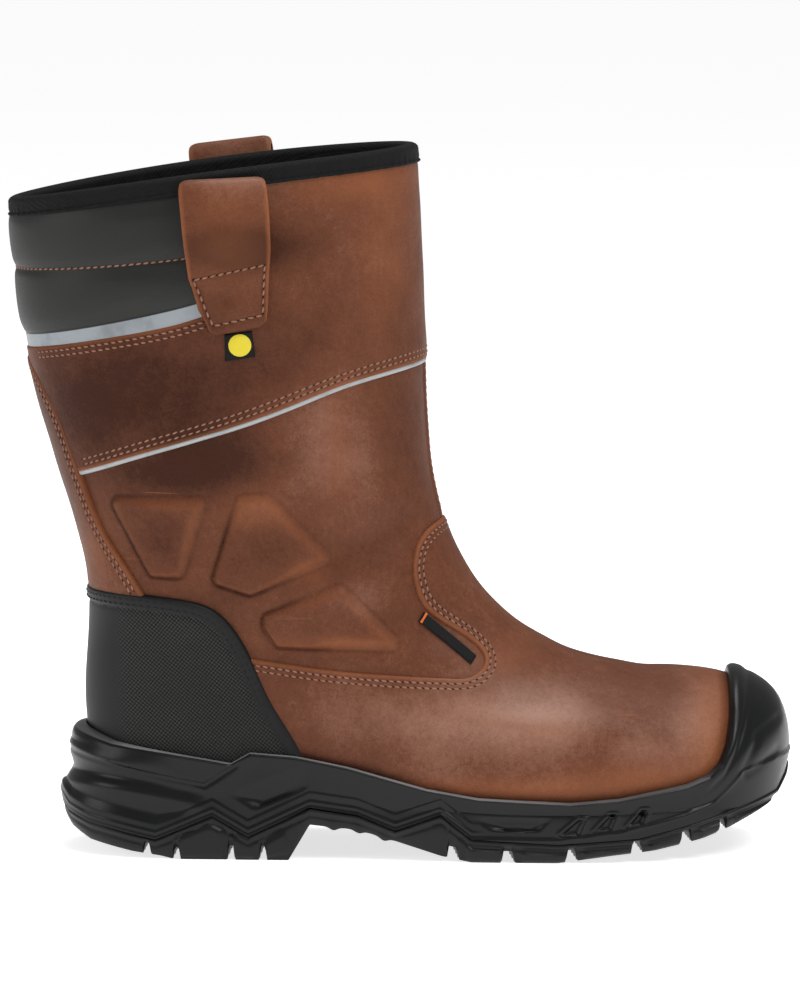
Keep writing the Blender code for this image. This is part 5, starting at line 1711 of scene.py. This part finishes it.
    def sew(self, side: Side) -> None:
        """Stitches round the foot: a row inside its outline, with the cross seam on top."""
        rows = self.strap[-5:][::-1]
        for start, end in zip(self.seam[:-1], self.seam[1:]):
            line = evenly(np.array([start, end]), 60)
            x, z = line[:, 0], line[:, 1]
            out = np.interp(z, rows[:, 0], rows[:, 1]) - 0.1
            place, normal = LAST.out_from(x, self.settled(side, x, z), np.full(60, side.value), out)
            self.stitching.row(Edge(place, normal, unit(np.gradient(place, axis=0))), 0.0, 0.0)


@dataclass
class Labels:
    """Two small sewn labels on the outer side, left plain."""

    bench: Bench
    tag: Points = ((-72.6, 211.9), (-60.2, 213.7), (-61.6, 224.6), (-72.9, 223.2))
    flag: Points = ((7.6, 100.4), (29.8, 82.2), (32.0, 85.4), (9.9, 104.1))
    disc: tuple[float, float, float] = (-66.6, 218.6, 4.7)

    @staticmethod
    def patch(corners: Points, count: tuple[int, int], low: float, thick: float, round_it: float) -> Shape:
        """Plate between four side-view corners on the outer side, with its top rounded at the edges."""
        across, up = np.meshgrid(np.linspace(0, 1, count[0]), np.linspace(0, 1, count[1]))
        a, b, c, d = (np.array(corner) for corner in corners)
        low_line = a + (b - a) * across[..., None]
        high_line = d + (c - d) * across[..., None]
        spot = low_line + (high_line - low_line) * up[..., None]
        place, normal = LAST.out_from(spot[..., 0], spot[..., 1], np.full(across.shape, -1.0), 0 * across)
        wide, tall = np.linalg.norm(b - a), np.linalg.norm(d - a)
        edge = np.minimum(np.minimum(across, 1 - across) * wide, np.minimum(up, 1 - up) * tall)
        high = low + thick * (0.35 + 0.65 * np.sqrt(1 - (1 - np.clip(edge / round_it, 0, 1)) ** 2))
        weave = 0.05 * np.sin(spot[..., 0] * 5.0) * np.sin(spot[..., 1] * 5.0)
        return plate(place, normal, low, high + weave, edge)

    def build(self) -> None:
        """Makes the tag with a plain disc, and the flag with a plain stripe at its end."""
        f = self.bench.finishes
        tag = self.patch(self.tag, (33, 29), 1.75, 0.8, 0.8)
        self.bench.piece("small_tag", tag, f.label, "black_webbing", ["size_tag"])
        middle_x, middle_z, radius = self.disc
        count = 48
        angle, share = np.meshgrid(np.arange(count) * 2 * np.pi / count, [0.0, 0.5, 0.86, 0.96, 1.0])
        x = middle_x + radius * share * np.cos(angle)
        z = middle_z + radius * share * np.sin(angle)
        high = 2.9 - 0.3 * smoothstep(0.86, 1.0, share)
        place, _ = LAST.out_from(x, z, np.full(x.shape, -1.0), high)
        index = numbered(x)
        index[0] = index[0, 0]
        base, _ = LAST.out_from(x[-1], z[-1], np.full(count, -1.0), np.full(count, 2.3))
        ring = np.arange(count) + x.size
        faces = [net(index[::-1], closed=True), net(np.vstack([ring, index[-1]]), closed=True),
                 ladder(ring)[:, ::-1]]
        disc = compact(Shape(np.concatenate([place.reshape(-1, 3), base]), faces))
        self.bench.piece("tag_disc", disc, f.mark, "black_webbing")
        flag = self.patch(self.flag, (57, 13), 0.15, 1.3, 0.7)
        self.bench.piece("small_flag", flag, f.label, "black_webbing", ["side_flag"])
        a, b, c, d = (np.array(corner) for corner in self.flag)
        ends = [tuple(a + (b - a) * part) for part in (0.02, 0.06)]
        tops = [tuple(d + (c - d) * part) for part in (0.06, 0.02)]
        stripe = self.patch((ends[0], ends[1], tops[0], tops[1]), (5, 13), 1.2, 0.42, 0.3)
        self.bench.piece("flag_stripe", stripe, f.stripe, "black_webbing")


class SoleNet:
    """Rings round the sole at dense stations."""

    def __init__(self, columns: int) -> None:
        """Works out the feather edge and the outward directions.

        Args:
            columns: Stations round the boot.
        """
        self.turn = np.arange(columns) * 2 * np.pi / columns
        self.feather = LAST.point(self.turn, np.zeros(columns))
        across = np.roll(self.feather, -1, axis=0) - np.roll(self.feather, 1, axis=0)
        self.out = unit(np.stack([across[:, 1], -across[:, 0], np.zeros(columns)], 1))

    def wall(self, column: int) -> Array:
        """One column of the wall's offsets at each station."""
        return spline(WALLS[:, 0], WALLS[:, column], self.feather[:, 0])

    def flange(self, table: Array, inset_by: float, drop: float) -> Array:
        """Ring of the sole's edge, moved in and down, with the heights of a table."""
        ring = self.feather + self.out * (self.wall(FLANGE) - inset_by)[:, None]
        ring[:, 2] = heights(table, ring[:, 0]) - drop
        return ring

    def rim_levels(self) -> Array:
        """Level of the rim at each station, where the loop's height first passes the rim's."""
        search = np.linspace(0.004, 0.3, 900)
        s = (1 - np.cos(self.turn)) / 2
        x, z = LAST.trace(*np.broadcast_arrays(s[:, None], search[None]))
        over = z - heights(RIM, x)
        i = np.maximum(np.argmax(over >= 0, axis=1), 1)
        rows = np.arange(len(s))
        before, after = over[rows, i - 1], over[rows, i]
        share = np.clip(-before / np.maximum(after - before, 1e-9), 0, 1)
        return search[i - 1] + (search[i] - search[i - 1]) * share


@dataclass
class Midsole:
    """Moulded midsole with its toe bumper: a stack of rings made smooth, with the moulded relief of its side.

    Rows of the net keep fixed distances from the joint, then spread up to the crest, from where a quarter
    round goes over to the lip. So the lines moulded along the joint and along the lip run with the net.
    A trim holds a place x and how far shoulder, middle and crest are taken in there.
    """

    bench: Bench
    columns: int = 1100
    low_run: float = 9.0
    low_rows: int = 19
    high_rows: int = 44
    clear: float = 1.95
    crests: Points = ((-127.0, 0.76), (-112.0, 0.86), (-95.0, 0.94))
    trims: tuple[tuple[float, ...], ...] = (
        (-127.0, 1.2, -2.0, 0.9), (-112.0, 0.6, -1.0, 0.6), (-92.0, 0.0, 0.0, 0.0), (120.0, 0.0, 0.0, 0.0),
        (156.0, -0.6, -2.0, -1.0))
    # Where the lip's painted highlight shows along x: 0 is full, 5 is none.
    lip_highlight_fade: Points = ((-122.0, 3.0), (-112.0, 0.0), (30.0, 0.0), (80.0, 2.4), (126.0, 3.0), (136.0, 5.0))
    plate_line: Points = ((-150.0, 45.5), (-140.0, 43.8), (-121.6, 40.4), (-82.5, 32.9), (-69.5, 41.5))
    waist_notch: Points = ((-72.7, 27.3), (-61.3, 21.1), (-39.7, 29.9))
    ball_notch: Points = ((29.3, 18.9), (37.4, 13.5), (58.5, 13.3), (64.0, 18.5))
    ribs: tuple[Points, ...] = (
        ((67.2, 12.2), (74.6, 12.2), (77.5, 18.7), (74.8, 18.7)),
        ((81.6, 13.6), (88.2, 14.4), (90.6, 20.7), (88.2, 20.7)),
        ((95.4, 15.6), (101.4, 16.8), (103.8, 22.5), (101.6, 22.5)))
    ledge: Points = ((28.0, 10.9), (33.0, 10.4), (67.0, 10.1), (93.0, 13.3), (120.0, 20.0), (132.0, 24.6),
                     (137.7, 30.0), (144.5, 36.9), (150.0, 38.4), (168.0, 41.5))
    facets: tuple[Points, ...] = (
        ((145.0, 37.0), (151.0, 49.0)), ((150.5, 51.5), (160.0, 56.0)), ((146.0, 35.0), (160.0, 43.5)))

    @staticmethod
    def notch(line: Points, softness: Sequence[float], tall: float, x: Array, z: Array) -> Array:
        """Depth of a notch over a line of faces: a soft step off each, times a fade over the second.

        Args:
            line: Side-view points of the faces from left to right.
            softness: Width of the step off each face.
            tall: Height over the second face at which the notch ends.
            x: Places along the boot.
            z: Heights.

        Returns:
            Depths from 0 to 1.
        """
        found = np.ones_like(x)
        for i, soft in enumerate(softness):
            (ax, az), (bx, bz) = line[i], line[i + 1]
            above = ((z - az) * (bx - ax) - (x - ax) * (bz - az)) / np.hypot(bx - ax, bz - az)
            found = found * smoothstep(0.0, soft, above)
            if i == 1:
                found = found * smoothstep(tall, 0.3 * tall, above)
        return found

    def heel(self, x: Array, z: Array, over: Array) -> Array:
        """Relief of the heel: a plate under the lip, and below it a channel, a swell and a scoop."""
        edge = np.interp(x, *zip(*self.plate_line), right=99.0)
        away = path_distance(self.plate_line, x, z)
        signed = np.where(z > edge, away, -away)
        below = edge - z
        behind = smoothstep(-79.0, -90.0, x)
        found = 0.8 * smoothstep(-0.6, 0.6, signed)
        found -= 0.45 * bell(signed + 1.5, 1.1) * smoothstep(-66.0, -70.0, x)
        found += behind * (0.6 * bell(below - 10.5, 3.0) - 0.55 * bell(below - 4.6, 2.8))
        return found - behind * 1.2 * bell(below - 17.0, 4.2) * smoothstep(5.0, 10.0, over)

    def relief(self, x: Array, z: Array, top: Array) -> Array:
        """Height of the moulded relief.

        Two steps and a fine groove follow the joint, notches and ribs are sunk into the side, a ledge runs
        along the forefoot, and the bumper has a bead along its edge and a few broad soft facets.

        Args:
            x: Places along the boot.
            z: Heights.
            top: Distance down from the edge under the lip.

        Returns:
            Heights along the normals.
        """
        over = z - heights(JOINT, x)
        found = self.heel(x, z, over)
        steps = 0.4 * smoothstep(3.8, 3.0, over) + 0.3 * smoothstep(7.4, 6.6, over)
        found += (steps - 0.25 * bell(over - 1.6, 0.5)) * smoothstep(36.0, 26.0, x)
        away = path_distance(self.ledge, x, z)
        below = np.where(z < heights(self.ledge, x), away, -away)
        found += (0.45 * smoothstep(-0.6, 0.6, below) + 0.3 * bell(away, 0.7)) * smoothstep(27.0, 34.0, x)
        found -= 2.0 * self.notch(self.waist_notch, (5.0, 2.0), 11.0, x, z) * smoothstep(-37.0, -49.0, x)
        found -= 1.7 * self.notch(self.ball_notch, (5.0, 1.2, 3.0), 6.4, x, z)
        for corners in self.ribs:
            inside = outline_distance(corners, x, z)
            found += 0.35 * bell(inside + 0.9, 0.7) - 1.3 * smoothstep(-0.3, 1.2, inside)
        for facet in self.facets:
            found -= 0.5 * bell(path_distance(facet, x, z), 1.9)
        bumper = smoothstep(126.0, 133.0, x)
        return found + bumper * (0.3 * bell(top - 1.6, 1.6) - 0.3 * bell(top - 5.0, 1.5))

    def net_rows(self, sole: SoleNet, rim: Array) -> tuple[Array, Array]:
        """Rows of the wall.

        Args:
            sole: Stations round the boot.
            rim: Level of the rim at each station.

        Returns:
            The rows' places and their distances down from the edge under the lip.
        """
        flange = sole.flange(JOINT, 0.0, 0.0)
        waist = sole.feather + sole.out * sole.wall(WAIST)[:, None]
        waist[:, 2] = np.maximum(waist[:, 2], flange[:, 2] + 1.5)
        rings = [flange, waist]
        crest = heights(self.crests, sole.feather[:, 0])
        stations, *depths = zip(*self.trims)
        for share, column, depth in zip((0.30, 0.66, 1.0), (SHOULDER, MIDDLE, MIDDLE), depths):
            place, normal, _ = LAST.frame_at(sole.turn, rim * share * crest)
            trim = np.interp(sole.feather[:, 0], stations, depth)
            rings.append(place + normal * (sole.wall(column) - trim)[:, None])
        stack = np.array(rings)
        steps = np.linalg.norm(np.diff(stack, axis=0), axis=2).mean(1)
        knots = np.concatenate([[0.0], np.cumsum(steps)]) / steps.sum()
        dense = spline(knots, stack, np.linspace(0, 1, 120))
        length = np.cumsum(np.linalg.norm(np.diff(dense, axis=0, prepend=dense[:1]), axis=2), axis=0)
        total = length[-1]
        low = np.minimum(self.low_run, 0.45 * total)
        lower = np.linspace(0, 1, self.low_rows)[:, None]
        upper = np.linspace(0, 1, self.high_rows)[1:, None]
        reach = np.concatenate([lower * low[None], low[None] + upper * (total - low)[None]])
        apart = 1000.0 * np.arange(self.columns)[None]
        wanted, known = (reach + apart).T.ravel(), (length + apart).T.ravel()
        wall = np.stack([np.interp(wanted, known, dense[..., axis].T.ravel()) for axis in range(3)], -1)
        return wall.reshape(self.columns, -1, 3).transpose(1, 0, 2), total[None] - reach

    def build(self) -> None:
        """Makes the midsole as one closed net: underside, wall, lip, inner wall and floor."""
        sole = SoleNet(self.columns)
        rim = sole.rim_levels()
        wall, top = self.net_rows(sole, rim)
        across = np.roll(wall, -1, axis=1) - np.roll(wall, 1, axis=1)
        normal = unit(np.cross(across, np.gradient(wall, axis=0)))
        wall = wall + normal * self.relief(wall[..., 0], wall[..., 2], top)[..., None]
        top_place, top_normal, top_up = LAST.frame_at(sole.turn, rim)
        lip = top_place + top_normal * (sole.wall(LIP) - 0.6)[:, None]
        rise = top_up * np.sum((lip - wall[-1]) * top_up, axis=1, keepdims=True)
        hub = lip - rise
        slope = [hub + (wall[-1] - hub) * np.cos(angle) + rise * np.sin(angle)
                 for angle in np.radians([18.0, 36.0, 54.0, 72.0, 90.0])]
        for out, drop in ((2.5, 0.1), (self.clear, 0.8)):
            slope.append(top_place + top_normal * out - top_up * drop)
        inner = []
        for part in (0.8, 0.4, 0.0):
            place, outward, _ = LAST.frame_at(sole.turn, rim * part)
            inner.append(place + outward * self.clear)
        rows = np.concatenate([wall, np.array(slope), np.array(inner)])
        index = numbered(rows)
        faces = [net(index, closed=True), ladder(index[0])[:, ::-1], ladder(index[-1])]
        edge = np.full(index.shape, FAR)
        # The edge attribute of the rounding rows up to the lip marks the painted highlight, full at 0 and
        # gone at 5.
        edge[len(wall) + 2:len(wall) + 6] = heights(self.lip_highlight_fade, lip[:, 0])
        shape = Shape(rows.reshape(-1, 3), faces, edge.ravel())
        self.bench.piece("moulded_midsole", shape, self.bench.finishes.rubber, "black_rubber",
                         ["midsole"], 40.0)


@dataclass
class Outsole:
    """Lugged outsole: a wall down from the joint and an underside with grooves and channels."""

    bench: Bench
    half: int = 620
    across: int = 64
    undercut: float = 2.0
    groove_middle: float = 3.0
    groove_reach: float = 83.0
    channel_top: float = 4.6
    arch_ribs: tuple[float, ...] = (-28.0, -17.5, -6.8)
    rib_tall: float = 1.3
    grooves: Array = field(default_factory=lambda: np.array([
        (-108.5, 2.4, 4.6, 4.0), (-96.0, 2.2, 5.0, 4.0), (-73.0, 2.2, 6.0, 4.0), (-59.5, 2.2, 6.0, 4.0),
        (25.0, 3.8, 5.0, -7.0), (48.0, 4.4, 5.0, -7.0), (74.5, 3.6, 5.0, -7.0), (102.0, 3.6, 5.0, -7.0),
        (123.0, 4.0, 5.0, -7.0), (139.0, 3.0, 5.0, -7.0)]))
    channels: Array = field(default_factory=lambda: np.array([
        (-17.0, -118.0, -30.0), (17.0, -118.0, -30.0), (-17.0, 8.0, 142.0), (17.0, 8.0, 142.0)]))
    blocks: tuple[Points, ...] = (
        ((-95.2, 8.8), (-81.0, 15.8), (-74.8, 13.0), (-74.6, 0.4), (-93.0, 0.4)),
        ((-72.0, 11.0), (-68.0, 11.0), (-62.5, 8.6), (-61.0, 0.4), (-71.4, 0.4)),
        ((-58.2, 7.0), (-48.4, 13.0), (-46.0, 3.0), (-57.6, 0.6)))

    def underside(self, x: Array, y: Array) -> Array:
        """Height of the tread: the ground line, raised in chevron grooves and long sloped channels."""
        ground = heights(GROUND, x)
        for place in self.arch_ribs:
            ground = ground - self.rib_tall * bell(x - place, 2.2)
        found = ground
        for place, width, depth, sweep in self.grooves:
            line = place + sweep * (1 - np.abs(y - self.groove_middle) / self.groove_reach)
            cut = smoothstep(width / 2 + 0.55, width / 2 - 0.35, np.abs(x - line))
            found = np.maximum(found, ground + depth * cut)
        for middle, start, end in self.channels:
            cut = smoothstep(2.3, 1.4, np.abs(y - middle)) * smoothstep(start - 1, start + 1, x)
            cut = cut * smoothstep(end + 1, end - 1, x)
            found = np.maximum(found, ground + np.maximum(self.channel_top - ground, 0.0) * cut)
        return found

    def build(self) -> None:
        """Makes the outsole as one closed net: top, wall and underside."""
        sole = SoleNet(2 * self.half)
        top = sole.flange(JOINT, 0.0, 0.3)
        bottom = sole.flange(GROUND, self.undercut, 0.0)
        bottom[:, 2] = self.underside(bottom[:, 0], bottom[:, 1])
        bottom[:, 2] = np.minimum(bottom[:, 2], top[:, 2] - 0.4)
        down = np.linspace(0, 1, 18)
        wall = top[None] + (bottom - top)[None] * down[:, None, None]
        bow = (1 - down ** 3)[:, None, None]
        wall[..., :2] = (bottom[None] + (top - bottom)[None] * bow)[..., :2]
        relief = np.zeros(wall.shape[:2])
        x, z = wall[..., 0], wall[..., 2]
        for outline in self.blocks:
            relief += 0.9 * smoothstep(-0.2, 1.3, outline_distance(outline, x, z))
        over = heights(JOINT, x) - z
        relief += 0.5 * bell(over - 1.2, 0.9) - 0.5 * bell(over - 3.2, 0.9)
        fore = smoothstep(24.0, 30.0, x) * smoothstep(3.6, 4.8, over)
        lug = np.ones_like(x)
        for place, width, _, _ in self.grooves:
            lug *= smoothstep(width / 2 + 0.3, width / 2 + 2.2, np.abs(x - place))
        relief += 0.9 * fore * lug
        relief *= smoothstep(1.0, 0.86, down)[:, None] * smoothstep(0.0, 0.08, down)[:, None]
        wall = wall + sole.out[None] * relief[..., None]
        index = numbered(wall)
        ring = index[-1]
        one, two = bottom[:self.half + 1], bottom[np.r_[0, -1:-self.half - 1:-1]]
        part = np.linspace(0, 1, self.across)[1:-1]
        floor = one[:, None] + (two - one)[:, None] * part[None, :, None]
        floor[..., 2] = self.underside(floor[..., 0], floor[..., 1])
        floor[..., 2] = np.minimum(floor[..., 2], heights(JOINT, floor[..., 0]) - 0.7)
        number = numbered(floor) + index.size
        number[0] = ring[0]
        number[-1] = ring[self.half]
        second = np.concatenate([ring[:1], ring[:self.half - 1:-1]])
        number = np.hstack([ring[:self.half + 1, None], number, second[:, None]])
        faces = [net(index[::-1], closed=True), ladder(index[0]), net(number)]
        shape = compact(Shape(np.concatenate([wall.reshape(-1, 3), floor.reshape(-1, 3)]), faces))
        self.bench.piece("lugged_outsole", shape, self.bench.finishes.outsole, "black_rubber",
                         ["outsole"], 40.0)


@dataclass
class Footbed:
    """Felt footbed, thicker and cupped at its edge."""

    bench: Bench
    columns: int = 240
    thick: float = 4.0

    def build(self) -> None:
        """Makes the footbed: rings shrink towards the middle line and dish by the square of the way in."""
        sole = SoleNet(self.columns)
        base, normal, _ = LAST.frame_at(sole.turn, np.zeros(self.columns))
        edge = base - normal * 2.5
        mirror = np.concatenate([edge[:1], edge[:0:-1]])
        middle = (edge + mirror) / 2
        rows = [edge, edge + np.array([0.0, 0.0, self.thick + 0.6])]
        for share in (0.97, 0.9, 0.75, 0.5, 0.25, 0.1):
            row = middle + (edge - middle) * share
            row[:, 2] += self.thick + 0.9 * share ** 4 - 0.5 * (1 - share ** 2)
            rows.append(row)
        stack = np.array(rows)
        index = numbered(stack)
        faces = [net(index, closed=True), ladder(index[0])[:, ::-1], ladder(index[-1])]
        shape = Shape(stack.reshape(-1, 3), faces)
        self.bench.piece("felt_footbed", shape, self.bench.finishes.felt, "footbed_felt", ["insole"])


@dataclass
class Photographer:
    """Camera at the photo's angle, pale floor and soft studio light; distances are in metres.

    Each light has a name, a place, the height that it is turned to, its size and its power.
    """

    bench: Bench
    distance: float = 2.6
    pitch: float = 6.65
    aim: float = 0.1478
    lens: float = 220.2
    floor: float = 80.0
    sky: float = 0.28
    lights: tuple = (
        ("key", (1.2, -1.2, 2.1), 0.12, 1.1, 29.0), ("side", (-2.0, -0.7, 0.9), 0.12, 1.0, 9.0),
        ("top", (0.2, 0.1, 2.2), 0.1, 1.4, 27.0))

    def build(self) -> None:
        """Sets up camera, lights and floor."""
        scene = bpy.context.scene
        tilt = np.radians(self.pitch)
        camera = bpy.data.objects.new("camera", bpy.data.cameras.new("camera"))
        camera.data.lens = self.lens
        camera.data.sensor_width = 36.0
        camera.location = (0.0, -self.distance * np.cos(tilt), self.aim + self.distance * np.sin(tilt))
        camera.rotation_euler = (np.pi / 2 - tilt, 0.0, 0.0)
        scene.collection.objects.link(camera)
        scene.camera = camera
        for name, place, aim_height, size, power in self.lights:
            self.light(name, place, (0.0, 0.0, aim_height), size, power)
        world = bpy.data.worlds.new("studio")
        world.use_nodes = True
        back = world.node_tree.nodes["Background"]
        back.inputs["Color"].default_value = (1.0, 1.0, 1.0, 1.0)
        back.inputs["Strength"].default_value = self.sky
        scene.world = world
        scene.view_settings.view_transform = "Standard"
        mesh = bpy.data.meshes.new("floor")
        half = self.floor / 2
        corners = [(-half, -half, 0.0), (half, -half, 0.0), (half, half, 0.0), (-half, half, 0.0)]
        mesh.from_pydata(corners, [], [(0, 1, 2, 3)])
        mesh.materials.append(self.bench.finishes.paper)
        ground = bpy.data.objects.new("floor", mesh)
        scene.collection.objects.link(ground)

    @staticmethod
    def light(name: str, place: tuple[float, float, float], aim: tuple[float, float, float], size: float,
              power: float) -> None:
        """Adds one soft square light, turned to its aim."""
        lamp = bpy.data.lights.new(name, "AREA")
        lamp.size = size
        lamp.energy = power
        made = bpy.data.objects.new(name, lamp)
        made.location = place
        made.rotation_euler = (Vector(aim) - Vector(place)).to_track_quat("-Z", "Y").to_euler()
        bpy.context.scene.collection.objects.link(made)


def plain(box: Sequence) -> list:
    """Corners of a box as plain lists of numbers."""
    return [[float(value) for value in corner] for corner in box]


def main() -> None:
    """Builds the boot's looks in order."""
    logging.basicConfig(level=logging.INFO, format="%(message)s")
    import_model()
    bench = Bench(Finishes())
    Photographer(bench).build()
    skin = Skin()
    stitching = Stitching(bench)
    Quarters(bench, stitching).build()
    Panels(bench, skin, stitching).build()
    CollarPad(bench, stitching).build()
    Binding(bench).build()
    PullLoops(bench, stitching).build()
    Labels(bench).build()
    stitching.build()
    Midsole(bench).build()
    Outsole(bench).build()
    Footbed(bench).build()


if __name__ == "__main__":
    main()
